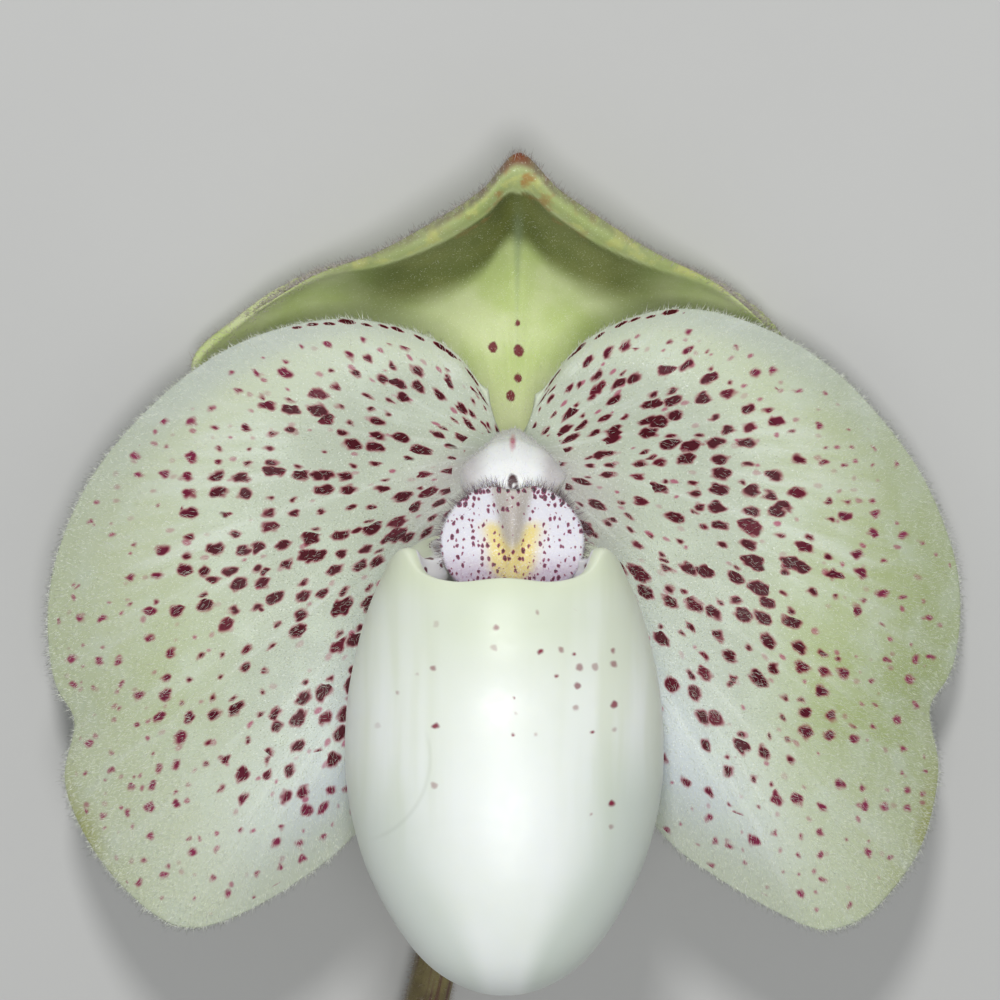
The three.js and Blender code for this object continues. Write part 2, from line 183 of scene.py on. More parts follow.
# A material on its way: its nodes, each point's place in mm and the colour so far. A name given in place of a
# socket reads the mesh's attribute of that name.
class Skin:
    def __init__(self, name, colour):
        self.material = bpy.data.materials.new(name)
        self.material.use_nodes = True
        self.tree = self.material.node_tree
        self.colour = colour
        self.place = self.add("VectorMath", {0: self.add("TexCoord").outputs["Object"], "Scale": 1000.0},
                              operation="SCALE").outputs["Vector"]

    def add(self, kind, inputs=None, **settings):
        made = self.tree.nodes.new("ShaderNode" + kind)
        for key, value in settings.items():
            setattr(made, key, value)
        for key, value in (inputs or {}).items():
            value = self.read(value) if isinstance(value, str) else value
            if isinstance(value, bpy.types.NodeSocket):
                self.tree.links.new(value, made.inputs[key])
            else:
                made.inputs[key].default_value = value
        return made

    def read(self, name, output="Fac"):
        return self.add("Attribute", attribute_name=name).outputs[output]

    def calculate(self, operation, first, second=0.0):
        return self.add("Math", {0: first, 1: second}, operation=operation).outputs[0]

    def times(self, first, second):
        return self.calculate("MULTIPLY", first, second)

    def plus(self, first, second):
        return self.calculate("ADD", first, second)

    def minus(self, first, second):
        return self.calculate("SUBTRACT", first, second)

    def vector(self, operation, *inputs):
        return self.add("VectorMath", dict(enumerate(inputs)), operation=operation).outputs

    def ease(self, value, low, high, newLow=0.0, newHigh=1.0):
        return self.add("MapRange", {"Value": value, "From Min": low, "From Max": high, "To Min": newLow,
                                     "To Max": newHigh}, interpolation_type="SMOOTHSTEP").outputs["Result"]

    def noise(self, scale, detail=2.0, roughness=0.5, place=None, output="Fac"):
        place = self.place if place is None else place
        return self.add("TexNoise", {"Vector": place, "Scale": scale, "Detail": detail,
                                     "Roughness": roughness}).outputs[output]

    def patches(self, scale, detail, *easing):
        return self.ease(self.noise(scale, detail), *easing)

    def wobble(self, scale, detail, amount):
        return self.times(self.minus(self.noise(scale, detail), 0.5), amount)

    def blend(self, share, low, high):
        low, high = (paint(colour) if isinstance(colour, tuple) else colour for colour in (low, high))
        return self.add("MixRGB", {"Fac": share, "Color1": low, "Color2": high}).outputs["Color"]

    def over(self, share, colour):
        self.colour = self.blend(share, self.colour, colour)

    # Spots as the cells of a texture, no more than one to a cell. The share of cells that have one, and its
    # size in mm, come from sockets. Returns how far a place is covered, how deep inside a spot it lies and a
    # number per spot.
    def spots(self, place, size, share, cell, softness=0.06, uneven=0.45, warp=0.2, dimensions="2D",
              stirScale=1.4, jitter=0.74):
        stir = self.noise(stirScale, 1.2, place=place, output="Color")
        stir = self.vector("SUBTRACT", stir, (0.5, 0.5, 0.5))["Vector"]
        place = self.vector("MULTIPLY_ADD", stir, (2 * warp,) * 3, place)["Vector"]
        cells = self.add("TexVoronoi", {"Vector": place, "Scale": 1 / cell, "Randomness": jitter},
                         voronoi_dimensions=dimensions).outputs
        chance = self.add("SeparateColor", {"Color": cells["Color"]}).outputs
        radius = self.times(size, self.ease(chance["Green"], 0, 1, 1 - uneven, 1 + uneven))
        gap = self.minus(self.times(cells["Distance"], cell), radius)
        cover = self.times(self.ease(gap, softness, -softness),
                           self.calculate("LESS_THAN", chance["Red"], share))
        return cover, self.ease(gap, 0.02, -0.16), chance["Blue"]

    def finish(self, grain, height, rough, bump, **look):
        shader = self.tree.nodes["Principled BSDF"]
        strength, distance = bump
        made = self.add("Bump", {"Height": height, "Strength": strength, "Distance": distance / 1000})
        sockets = {"Base Color": self.colour, "Roughness": self.ease(grain, 0.3, 0.7, *rough),
                   "Normal": made.outputs["Normal"]}
        for key, socket in sockets.items():
            self.tree.links.new(socket, shader.inputs[key])
        for key, (name, usual) in finishInputs.items():
            value = look.get(key, usual)
            shader.inputs[name].default_value = value / 1000 if key == "glowDepth" else value
        return self.material


def hairMaterial(name, dark, light, glow=0.2):
    skin = Skin(name, dark)
    skin.over(skin.plus(skin.times("shade", 0.7), skin.times(skin.noise(0.8), 0.3)), light)
    return skin.finish(skin.noise(3.0), skin.noise(12.0), rough=(0.35, 0.55), bump=(0.1, 0.01), glow=glow,
                       glowDepth=0.2, gloss=0.5)


def simpleMaterial(name, care):
    skin = Skin(name, care["low"])
    grain = skin.noise(6.0, 2.0)
    skin.over(skin.patches(care["mottle"], 3.0, 0.35, 0.7), care["high"])
    return skin.finish(grain, grain, **care["look"])


# A face that fans out from the flower's axis: t runs from its foot to its edge, w from one side to the other.
def fanFace(organ):
    def face(t, w):
        angle = np.radians(mixed(organ["from"], organ["to"], w))
        start = np.stack([flowerAxis[0] + organ["foot"] * np.cos(angle),
                          flowerAxis[1] + organ["foot"] * np.sin(angle),
                          np.full_like(angle, organ["footZ"])], -1)
        return organ["relief"](mixed(start, curveThrough(organ["edge"], w), t[..., None]), t, w)
    return face


def surfaceAt(face, t, w, step=1e-3):
    along = unit(face(np.minimum(t + step, 1), w) - face(np.maximum(t - step, 0), w))
    across = face(t, np.minimum(w + step, 1)) - face(t, np.maximum(w - step, 0))
    normal = unit(np.cross(along, across))
    normal = np.where(normal[..., 2:] < 0, -normal, normal)
    return face(t, w), along, unit(np.cross(normal, along)), normal


# Rows and columns close up towards the rim, where the blade is rounded off.
def crowdedTo(count, rimShare, rimCount, bothEnds=False):
    rim = 1 - rimShare * (1 - np.linspace(0, 1, rimCount + 1)[1:] ** 0.6)
    if bothEnds:
        return np.concatenate([(1 - rim)[::-1], np.linspace(rimShare, 1 - rimShare, count), rim])
    return np.concatenate([np.linspace(0, 1 - rimShare, count), rim])


def rimDistance(front):
    along = np.linalg.norm(np.diff(front, axis=0), axis=-1)
    across = np.linalg.norm(np.diff(front, axis=1), axis=-1)
    fromFoot = np.vstack([np.zeros(front.shape[1]), np.cumsum(along, 0)])
    fromSide = np.hstack([np.zeros((front.shape[0], 1)), np.cumsum(across, 1)])
    return fromFoot[-1:] - fromFoot, np.minimum(fromSide, fromSide[:, -1:] - fromSide)


# The points and triangles of a grid's two sides.
def twoSided(front, back):
    triangles = gridTriangles(front.shape[0] - 1, front.shape[1] - 1)
    points = np.concatenate([front.reshape(-1, 3), back.reshape(-1, 3)])
    return points, np.concatenate([triangles, (triangles + len(points) // 2)[:, ::-1]])


# A blade with a rounded rim. Returns its points and triangles, and each point's t, w, side (1 front, 0 back)
# and distance from the edge.
def bladeGrid(face, organ):
    t, w = np.meshgrid(crowdedTo(organ["rows"], 0.02, 7), crowdedTo(organ["columns"], 0.008, 5, True),
                       indexing="ij")
    front, _, _, normal = surfaceAt(face, t, w)
    toEdge, toSide = rimDistance(front)
    thickness = mixed(*organ["thickness"], t)[..., None]
    near = np.clip(np.minimum(toEdge, toSide) / (0.55 * organ["thickness"][1]), 0, 1)[..., None]
    half = 0.5 * thickness * np.sqrt(np.clip(1 - (1 - near) ** 2, 0, 1))
    half[-1], half[:, 0], half[:, -1] = 0, 0, 0
    middle = front - normal * thickness * 0.5
    points, triangles = twoSided(middle + normal * half, middle - normal * half)
    behind, foot = t.size, np.arange(t.shape[1] - 1)
    strip = np.concatenate([np.stack([foot, foot + 1, behind + foot + 1], -1),
                            np.stack([foot, behind + foot + 1, behind + foot], -1)])
    t, w, toEdge = (np.tile(value.ravel(), 2) for value in (t, w, toEdge))
    return points, np.concatenate([triangles, strip]), t, w, np.repeat([1.0, 0.0], behind), toEdge


# Places on a face, as likely as weight says for its area.
def scatter(face, count, rng, weight=None, tRange=(0.0, 1.0), wRange=(0.0, 1.0)):
    t, w = np.meshgrid(np.linspace(*tRange, 121), np.linspace(*wRange, 181), indexing="ij")
    points = face(t, w)
    corner = points[:-1, :-1]
    area = np.linalg.norm(np.cross(points[1:, :-1] - corner, points[:-1, 1:] - corner), axis=-1)
    if weight is not None:
        area = area * weight(t[:-1, :-1], w[:-1, :-1])
    chosen = rng.choice(area.size, size=count, p=(area / area.sum()).ravel())
    i, j = np.unravel_index(chosen, area.shape)
    dt, dw = t[1, 0] - t[0, 0], w[0, 1] - w[0, 0]
    return t[i, j] + rng.random(count) * dt, w[i, j] + rng.random(count) * dw


# Roots, directions and lengths of hairs on the front of a face, or on its back where an organ is given.
def hairsOver(face, care, rng, weight=None, organ=None):
    each = (care["count"], 1)
    t, w = scatter(face, care["count"], rng, weight, care["t"], care["w"])
    root, along, across, normal = surfaceAt(face, t, w)
    if organ:
        root = root - normal * mixed(*organ["thickness"], t)[:, None]
        normal = -normal
    direction = (along * care["forwards"] + across * rng.normal(0, care["lean"], each)
                 + normal * rng.uniform(*care["stand"], each))
    return root, direction, rng.uniform(*care["length"], care["count"])


# The same along a rim, where they point every way.
def hairsAtRim(face, care, rng, organ, weight=None):
    each = (care["count"], 1)
    t, w = scatter(face, care["count"], rng, weight, care["t"])
    root, along, across, normal = surfaceAt(face, t, w)
    root = root - normal * organ["thickness"][1] * rng.uniform(0, care["sink"], each)
    direction = (along + across * rng.normal(0, care["lean"], each)
                 + normal * rng.normal(*care["spread"], each))
    return root, direction, rng.uniform(*care["length"], care["count"])


# Closed slender spikes, which bend at their second joint where they have two.
def growHairs(name, hairs, care, material, rng):
    roots, directions, lengths = hairs
    directions, lengths, joints = unit(directions), lengths[:, None], care.get("joints", 1)
    helper = np.where(np.abs(directions[:, :1]) < 0.8, [[1.0, 0, 0]], [[0, 1.0, 0]])
    sideways = unit(np.cross(directions, helper))
    upwards = np.cross(directions, sideways)
    turn = rng.uniform(0, 2 * np.pi, lengths.shape)
    curl = (sideways * np.cos(turn) + upwards * np.sin(turn)) * lengths * care.get("bend", 0.25)
    points = []
    for height, width in [(-0.05, 1.0), (0.55, 0.75)][:joints]:
        centre = roots + directions * lengths * height + curl * max(height, 0) ** 2
        radius = care["thickness"] * width
        points += [centre + radius * (sideways * math.cos(angle) + upwards * math.sin(angle))
                   for angle in around(3)]
    points = np.stack(points + [roots + directions * lengths + curl], 1)
    points = points[toRow(points)[..., 2].min(axis=1) > 0.00002]  # hairs that touch the floor are left out
    count, perHair = points.shape[:2]
    last = 3 * joints - 3
    pattern = [(0, 2, 1)]
    for a in range(last):
        b = (a + 1) % 3
        pattern += [(a, b, b + 3), (a, b + 3, a + 3)]
    pattern += [(last + corner, last + (corner + 1) % 3, perHair - 1) for corner in range(3)]
    triangles = (np.arange(count)[:, None, None] * perHair + np.array(pattern)[None]).reshape(-1, 3)
    shade = np.repeat(rng.random(count), perHair)
    piece = addPiece(name, points, triangles, material, {"shade": shade})
    piece.visible_shadow = False  # so fine a hair lets the light past


petalCare = {
    "foot": 2.5, "footZ": -2.2, "thickness": (1.15, 0.7), "rows": 104, "columns": 200,
    "dome": 8.6, "domeSkew": 1.5, "domeSides": 1.1,
    "valleyAt": 0.49, "valleyWidth": 0.075, "valleyDepth": 1.5,
    "notchAt": 0.467, "notchWidth": 0.022, "notchDepth": 1.7, "notchLift": 1.2,
    "foldHeight": 0.22, "foldCount": 5.5, "veinHeight": 0.012, "veinCount": 37,
    "cream": (188, 196, 179), "white": (207, 217, 200), "green": (174, 187, 132), "light": (218, 225, 200),
    "cool": (200, 207, 213), "streak": (224, 230, 222), "flap": (164, 168, 96), "pocketShade": (188, 181, 180),
    "glint": (244, 247, 240), "spotDark": (74, 6, 22), "spotEdge": (146, 24, 62), "spotPale": (168, 66, 104),
    "hairColours": [(206, 212, 190), (246, 248, 238)],
    "spots": {"cell": 1.32, "softness": 0.13, "uneven": 0.48, "warp": 0.34, "jitter": 0.66},  # cell: mm apart
    "broadSpots": {"cell": 2.3, "softness": 0.12, "uneven": 0.5, "warp": 0.46},
    "tinySpots": {"cell": 1.0, "softness": 0.09, "uneven": 0.35},
    "stretchFrom": -0.03, "stretchRise": 0.224,  # how much the spots are drawn out from the middle
    "look": {"rough": (0.62, 0.38), "bump": (0.4, 0.07), "glow": 0.2, "glowDepth": 0.22, "velvet": 0.06,
             "velvetRoughness": 0.35, "gloss": 0.2},
    # the row of spots just inside the upper edge, each drawn out along it; it ends at w = rowTo, given below
    "row": {"apart": 1.35, "jitter": 0.55, "size": (0.24, 0.46), "draw": 1.4, "inside": (0.8, 1.15),
            "sideShift": 0.35, "t": 0.94, "cornerTo": 0.12, "share": 0.93},
    "down": {"count": 17000, "length": (0.3, 0.7), "thickness": 0.017, "bend": 0.3, "t": (0.05, 0.985),
             "w": (0.01, 0.99), "forwards": 0.9, "lean": 0.45, "stand": (0.35, 1.0), "valleyShare": 1.6},
    "fringe": {"count": 9000, "length": (0.4, 1.0), "thickness": 0.024, "t": (0.95, 0.999), "sink": 0.9,
               "lean": 0.4, "spread": (0.1, 0.5)},
}
petals = {
    "left": {"from": 108, "to": 252, "seed": 11, "greenness": 0.5, "rowTo": 0.175, "edge": [
        (-1.9, 8.4, -1.7), (-5.4, 12.2, -1.9), (-12.5, 14.1, -2.8), (-19.8, 12.8, -4.2), (-26.0, 9.2, -5.6),
        (-31.9, 3.2, -7.4), (-35.2, -2.9, -8.6), (-36.4, -8.8, -9.0), (-35.9, -15.6, -8.8),
        (-35.2, -22.0, -7.8), (-32.8, -27.0, -6.0), (-29.1, -31.0, -3.6), (-25.5, -33.0, -2.0),
        (-21.7, -32.3, -1.2), (-16.6, -29.5, -0.9), (-12.2, -25.9, -1.0), (-8.3, -19.7, -1.8),
        (-4.6, -10.6, -2.1), (-2.0, -3.9, -2.2)]},
    "right": {"from": 72, "to": -72, "seed": 23, "greenness": 1.0, "rowTo": 0.15, "edge": [
        (1.9, 8.0, -1.7), (5.8, 12.5, -1.9), (11.8, 14.8, -2.7), (18.0, 14.0, -3.8), (24.9, 10.3, -5.4),
        (31.1, 3.5, -7.5), (34.3, -3.0, -8.8), (35.2, -8.4, -9.0), (34.5, -14.6, -8.8), (33.6, -21.2, -7.8),
        (31.9, -27.0, -6.0), (28.4, -31.4, -3.6), (25.5, -33.0, -2.2), (22.5, -32.8, -1.4),
        (15.9, -29.2, -0.9), (11.3, -25.5, -1.0), (7.4, -18.9, -1.8), (4.2, -10.4, -2.1), (1.9, -3.9, -2.2)]},
}


def petalRelief(point, t, w):
    care = petalCare
    across = np.sin(np.pi * np.clip(w, 0, 1)) ** care["domeSides"]
    dome = care["dome"] * across * np.sin(np.pi * t ** care["domeSkew"])
    valley = -care["valleyDepth"] * pulse(w, care["valleyAt"], care["valleyWidth"]) * smooth(t) * (1.7 - t)
    folds = care["foldHeight"] * np.sin(2 * np.pi * care["foldCount"] * w) * across * t * t
    veins = care["veinHeight"] * np.cos(2 * np.pi * care["veinCount"] * w) * across * smooth(3 * t) * (1 - t)
    notch = pulse(w, care["notchAt"], care["notchWidth"]) * t ** 7
    inwards = np.stack([flowerAxis[0] - point[..., 0], flowerAxis[1] - point[..., 1], np.zeros_like(t)], -1)
    point = point + unit(inwards) * (care["notchDepth"] * notch)[..., None]
    point[..., 2] += dome + valley + folds + veins + care["notchLift"] * notch
    return point


# How far along the edge each point lies, how far from it, and how likely it is to be in a spot of the row.
# Past the corner by the column the row turns down the petal's inner side.
def rimRow(face, points, t, w, side, toEdge, rowTo):
    rule = petalCare["row"]
    line = np.linspace(0, 1, 400)
    rim = face(np.full(400, rule["t"]), line)
    along = np.interp(w, line, np.concatenate([[0], np.cumsum(np.linalg.norm(np.diff(rim, axis=0), axis=1))]))
    foot, corner = face(np.array([0.2, 1.0]), np.zeros(2))[:, :2]
    way = unit(corner - foot)
    offset = points[:, :2] - foot
    fromSide = np.abs(offset[:, 0] * way[1] - offset[:, 1] * way[0])
    beside = (w < rule["cornerTo"]) & (fromSide < toEdge)
    share = np.where(beside, rise(t, 0.5, 0.1), smooth((rowTo - w) / 0.03))
    share = rule["share"] * share * smooth((np.abs(fromSide - toEdge) - 0.05) / 0.25 + (w > rule["cornerTo"]))
    return np.column_stack([np.where(beside, -toEdge, along),
                            np.where(beside, fromSide + rule["sideShift"], toEdge), share * side])


def paintRimRow(skin):
    rule = petalCare["row"]
    row = skin.add("SeparateXYZ", {"Vector": skin.read("rimRow", "Vector")}).outputs
    cells = skin.add("TexVoronoi", {"W": row["X"], "Scale": 1 / rule["apart"], "Randomness": rule["jitter"]},
                     voronoi_dimensions="1D").outputs
    chance = skin.add("SeparateColor", {"Color": cells["Color"]}).outputs
    along = skin.times(cells["Distance"], rule["apart"] / rule["draw"])
    inwards = skin.minus(row["Y"], skin.ease(chance["Blue"], 0, 1, *rule["inside"]))
    reach = skin.calculate("POWER", skin.plus(skin.times(along, along), skin.times(inwards, inwards)), 0.5)
    gap = skin.minus(reach, skin.ease(chance["Green"], 0, 1, *rule["size"]))
    gap = skin.plus(gap, skin.wobble(2.6, 1.0, 0.25))
    cover = skin.times(skin.ease(gap, 0.06, -0.06), skin.calculate("LESS_THAN", chance["Red"], row["Z"]))
    skin.over(cover, skin.blend(skin.ease(gap, 0.0, -0.13), petalCare["spotEdge"], petalCare["spotDark"]))


def petalMaterial():
    care = petalCare
    skin = Skin("petal skin", care["cream"])
    grain = skin.noise(7.0, 2.0, 0.6)
    for tint in ("light", "white", "cool"):
        skin.over(tint, care[tint])
    skin.over(skin.times("green", skin.patches(0.16, 3.0, 0.2, 0.75, 0.72, 1.02)), care["green"])
    # flap is the petal's own colour; pocketShade is painted shade at the petal's foot by the column
    for tint in ("flap", "pocketShade"):
        skin.over(tint, care[tint])
    streaks = skin.noise(1.0, 3.0, 0.6, skin.read("vein", "Vector"))
    skin.over(skin.ease(streaks, 0.5, 0.72, 0.0, 0.4), care["streak"])
    skin.over(skin.ease(grain, 0.58, 0.74, 0.0, 0.6), care["glint"])
    skin.over(skin.patches(0.3, 4.0, 0.45, 0.75, 0.0, 0.45), care["white"])

    leaf = skin.read("leaf", "Vector")
    tiny, _, chance = skin.spots(leaf, "tinySize", "tinyShare", **care["tinySpots"])
    tiny = skin.times(tiny, skin.ease(chance, 0, 1, 0.25, 0.85))
    skin.over(skin.times(tiny, "strength"), care["spotPale"])
    cover, deep, chance = skin.spots(leaf, "spotSize", "spotShare", **care["spots"])
    aside = skin.vector("ADD", leaf, (7.3, 3.9, 0.0))["Vector"]  # so broad spots fall between the others
    broad, broadDeep, _ = skin.spots(aside, skin.times("spotSize", 1.2), "broadShare", **care["broadSpots"])
    cover = skin.calculate("MAXIMUM", cover, broad)
    deep = skin.calculate("MAXIMUM", deep, skin.times(broad, broadDeep))
    darkness = skin.times(deep, skin.ease(chance, 0.0, 0.3, 0.8, 1.0))
    spotColour = skin.blend(darkness, care["spotEdge"], care["spotDark"])
    spotColour = skin.blend("faint", spotColour, care["spotPale"])
    skin.over(skin.times(cover, "strength"), spotColour)
    paintRimRow(skin)

    height = skin.plus(skin.plus(skin.times(grain, 0.6), skin.times(skin.noise(2.2, 3.0), 0.8)), streaks)
    return skin.finish(grain, height, **care["look"])


# Where the spots are and how large. The places to look them up are drawn together along the veins, most of
# all near the middle, which draws the spots out. Outwards they thin out, grow small and pale, and leave a
# clear band along the upper edge.
def petalSpots(points, t, w, side, toEdge, apart):
    def drawn(reach):
        away = np.log(reach)
        return petalCare["stretchFrom"] * away + petalCare["stretchRise"] / 2 * away ** 2

    flat = points[:, :2] - flowerAxis
    reach = np.maximum(np.linalg.norm(flat, axis=1), 0.5)
    leaf = flat * (20 / reach * np.exp(drawn(reach) - drawn(20.0)))[:, None]
    band = mixed(3.1, 1.0, rise(w, 0.2, 0.16))
    inside = rise(toEdge, band, 1.2) * rise(t, 0.03, 0.08)
    far = rise(t, 0.52, 0.42)
    return {
        "leaf": np.column_stack([leaf[:, 0] + apart, leaf[:, 1], 0 * t]), "strength": mixed(0.3, 1, side),
        "faint": 0.75 * rise(t, 0.6, 0.34), "spotShare": inside * mixed(0.82, 0.56, far),
        "spotSize": mixed(0.39, 0.34, smooth(t / 0.45)) * mixed(1, 0.46, far),
        "broadShare": 0.45 * inside * fall(t, 0.45, 0.3),
        "tinyShare": inside * mixed(0.26, 0.42, far), "tinySize": mixed(0.16, 0.12, far)}


def petalTints(t, w, side, greenness):
    outside = pulse(w, 0.40, 0.18) * rise(t, 0.4, 0.5)
    lower = pulse(w, 0.66, 0.10) * rise(t, 0.75, 0.25)
    stain = pulse(w, 0.50, 0.09) * pulse(t, 0.72, 0.16)
    green = np.clip(0.05 + greenness * (0.98 * outside + 0.3 * lower + 0.55 * stain), 0, 1)
    # painted shade in the recess where the petal's foot meets the column, which also takes the green away
    pocketShade = 0.75 * fall(t, 0.03, 0.24) * rise(w, 0.16, 0.3)
    cool = pulse(w, 0.82, 0.19) * smooth(t / 0.3) * (1 - 0.75 * rise(t, 0.7, 0.3))
    cool = np.maximum(cool, 0.6 * pulse(w, 0.2, 0.12) * rise(t, 0.78, 0.16))
    return {
        "green": np.where(side > 0.5, green, 0.45) * (1 - pocketShade), "light": rise(t, 0.5, 0.4),
        "white": 0.4 * pulse(w, 0.12, 0.13) * rise(t, 0.5, 0.25) * side, "cool": cool * side,
        "flap": 0.8 * pulse(w, 0.54, 0.045) * rise(t, 0.94, 0.05), "pocketShade": pocketShade * side,
        "vein": np.column_stack([34 * w, 2.2 * t, 0 * t])}


def buildPetals():
    def overFace(t, w):
        return 1 + petalCare["down"]["valleyShare"] * pulse(w, 0.6, 0.14) * smooth(t / 0.3)

    def onEdge(t, w):
        return 0.15 + rise(t, 0.975, 0.02)

    skin = petalMaterial()
    hair = hairMaterial("petal down", *petalCare["hairColours"])
    for side, shape in petals.items():
        organ = dict(petalCare, relief=petalRelief, **shape)
        face = fanFace(organ)
        points, triangles, t, w, isFront, toEdge = bladeGrid(face, organ)
        attributes = dict(petalTints(t, w, isFront, shape["greenness"]),
                          rimRow=rimRow(face, points, t, w, isFront, toEdge, shape["rowTo"]),
                          **petalSpots(points, t, w, isFront, toEdge, 50.0 * shape["seed"]))
        addPiece(side + "Petal", points, triangles, skin, attributes, "petal_" + side)
        rng = np.random.default_rng(shape["seed"] + 2)
        down = hairsOver(face, organ["down"], rng, overFace)
        growHairs(side + "PetalDown", down, organ["down"], hair, rng)
        fringe = hairsAtRim(face, organ["fringe"], rng, organ, onEdge)
        growHairs(side + "PetalFringe", fringe, organ["fringe"], hair, rng)


hoodCare = {
    "from": -14, "to": 194, "foot": 2.6, "footZ": -3.9, "thickness": (1.15, 0.75),
    "rows": 110, "columns": 170, "middle": 6.7, "side": 4.6, "skew": 1.3, "steepness": 0.72, "flare": 0.9,
    "rim": {"tip": 0.155, "side": 0.115, "tipSpan": 0.022, "fadeFrom": 0.1, "fadeSpan": 0.2},
    "keelAt": 0.47, "keelWidth": 0.03, "keelDepth": 0.35, "seed": 37, "tipX": -0.3,
    "edge": [
        (5.7, 2.6, -4.4), (13.4, 5.0, -5.6), (19.3, 8.4, -6.8), (20.9, 11.8, -6.6), (16.6, 16.4, -4.2),
        (11.2, 19.1, -1.4), (7.3, 21.4, 0.9), (3.6, 23.9, 2.3), (0.5, 26.6, 2.9), (-2.4, 23.8, 2.2),
        (-6.0, 21.5, 1.1), (-10.6, 19.1, -1.1), (-15.7, 17.3, -3.4), (-20.9, 13.8, -5.7), (-24.4, 10.4, -6.8),
        (-21.3, 6.7, -6.8), (-13.8, 4.1, -5.8), (-5.8, 2.4, -4.4)],
    "band": {"middle": 3.1, "side": 0.5, "width": 11.0, "peak": 0.6, "peakWidth": 1.6},  # the painted shadow below the rim, in mm
    "spots": [(0.4, 13.7, 0.2), (-1.4, 11.9, 0.36), (0.5, 11.7, 0.4), (0.5, 9.6, 0.3), (-0.1, 8.1, 0.36)],
    "spotLength": 1.2, "spotStrength": 0.95, "backHairs": 5200, "rimHairs": 15000, "hairLength": (0.35, 0.85),
    "innerDown": {"count": 4600, "length": (0.12, 0.32), "thickness": 0.014, "bend": 0.3, "t": (0.05, 0.84),
                  "w": (0.03, 0.97), "forwards": 0.6, "lean": 0.4, "stand": (0.9, 1.5)},
    # deep and shadow are the two tones of the painted shadow below the rim
    "lime": (186, 202, 130), "pale": (206, 216, 164), "deep": (116, 122, 56), "midline": (140, 156, 124),
    "tip": (120, 58, 26), "orange": (176, 130, 72), "yellow": (206, 208, 128), "shadow": (88, 96, 42),
    "rimGreen": (148, 162, 94), "mauve": (112, 98, 92), "spot": (112, 14, 44), "byFoot": (208, 213, 170),
    "glint": (232, 240, 208), "hairColours": [(124, 110, 106), (214, 208, 198)],
    "innerColours": [(226, 234, 196), (255, 255, 246)],
    "look": {"rough": (0.65, 0.42), "bump": (0.35, 0.06), "glow": 0.2, "glowDepth": 0.22,
             "glowColour": (0.8, 1.0, 0.4), "velvet": 0.08, "gloss": 0.25},
}
synsepalCare = {
    "from": 206, "to": 334, "foot": 2.6, "footZ": -3.9, "thickness": (1.15, 0.75), "rows": 50, "columns": 90,
    "belly": 1.8, "backHairs": 1800, "rimHairs": 900, "hairLength": (0.35, 0.8),
    "edge": [
        (-4.4, -0.4, -4.2), (-7.6, -4.6, -4.4), (-8.9, -10.0, -4.8), (-8.1, -15.6, -4.8), (-5.4, -20.6, -4.2),
        (-0.8, -23.8, -3.6), (4.0, -20.8, -4.2), (6.9, -15.8, -4.8), (7.9, -10.2, -4.8), (6.9, -4.8, -4.4),
        (4.4, -0.4, -4.2)],
    "hairColours": [(150, 132, 116), (226, 226, 196)],
}
sepalHairs = {
    "thickness": 0.023, "bend": 0.3, "lean": 0.4,
    "back": {"t": (0.05, 0.98), "w": (0.01, 0.99), "forwards": 0.8, "stand": (0.4, 1.0)},
    "rim": {"t": (0.965, 0.999), "sink": 0.95, "spread": (0.0, 0.5)},
}


# The rim's width in t, widest at the tip and gone towards the two corners.
def hoodRimWidth(w):
    rim = hoodCare["rim"]
    off = np.abs(w - hoodCare["keelAt"])
    side = rim["side"] * fall(off, rim["fadeFrom"], rim["fadeSpan"])
    return side + (rim["tip"] - rim["side"]) * np.exp(-off / rim["tipSpan"])


def hoodRelief(point, t, w):
    care = hoodCare
    middle = np.sin(np.pi * np.clip(w, 0, 1)) ** 1.2
    width = hoodRimWidth(w)
    rimStart = 1 - width
    belly = mixed(care["side"], care["middle"], middle) * np.sqrt(np.sin(np.pi * (0.08 + 0.84 * w)))
    hollow = np.clip(np.sin(np.pi * np.clip(t / rimStart, 0, 1) ** care["skew"]), 0, 1) ** care["steepness"]
    keel = care["keelDepth"] * pulse(w, care["keelAt"], care["keelWidth"]) * np.sin(np.pi * t)
    outside = np.clip((t - rimStart) / np.maximum(1e-6, width), 0, 1)
    point = point.copy()
    point[..., 2] -= belly * hollow + keel
    flare = care["flare"] * middle * np.minimum(1, width / care["rim"]["side"])
    point[..., 2] += flare * np.sin(np.pi * outside)
    point[..., 2] += 0.02 * np.cos(2 * np.pi * 30 * w) * middle * smooth(3 * t) * (1 - t)
    return point


def synsepalRelief(point, t, w):
    point = point.copy()
    point[..., 2] -= synsepalCare["belly"] * np.sin(np.pi * w) * np.sin(np.pi * t)
    point[..., 2] += 0.03 * np.cos(2 * np.pi * 14 * w) * np.sin(np.pi * w) * np.sin(np.pi * t)
    return point


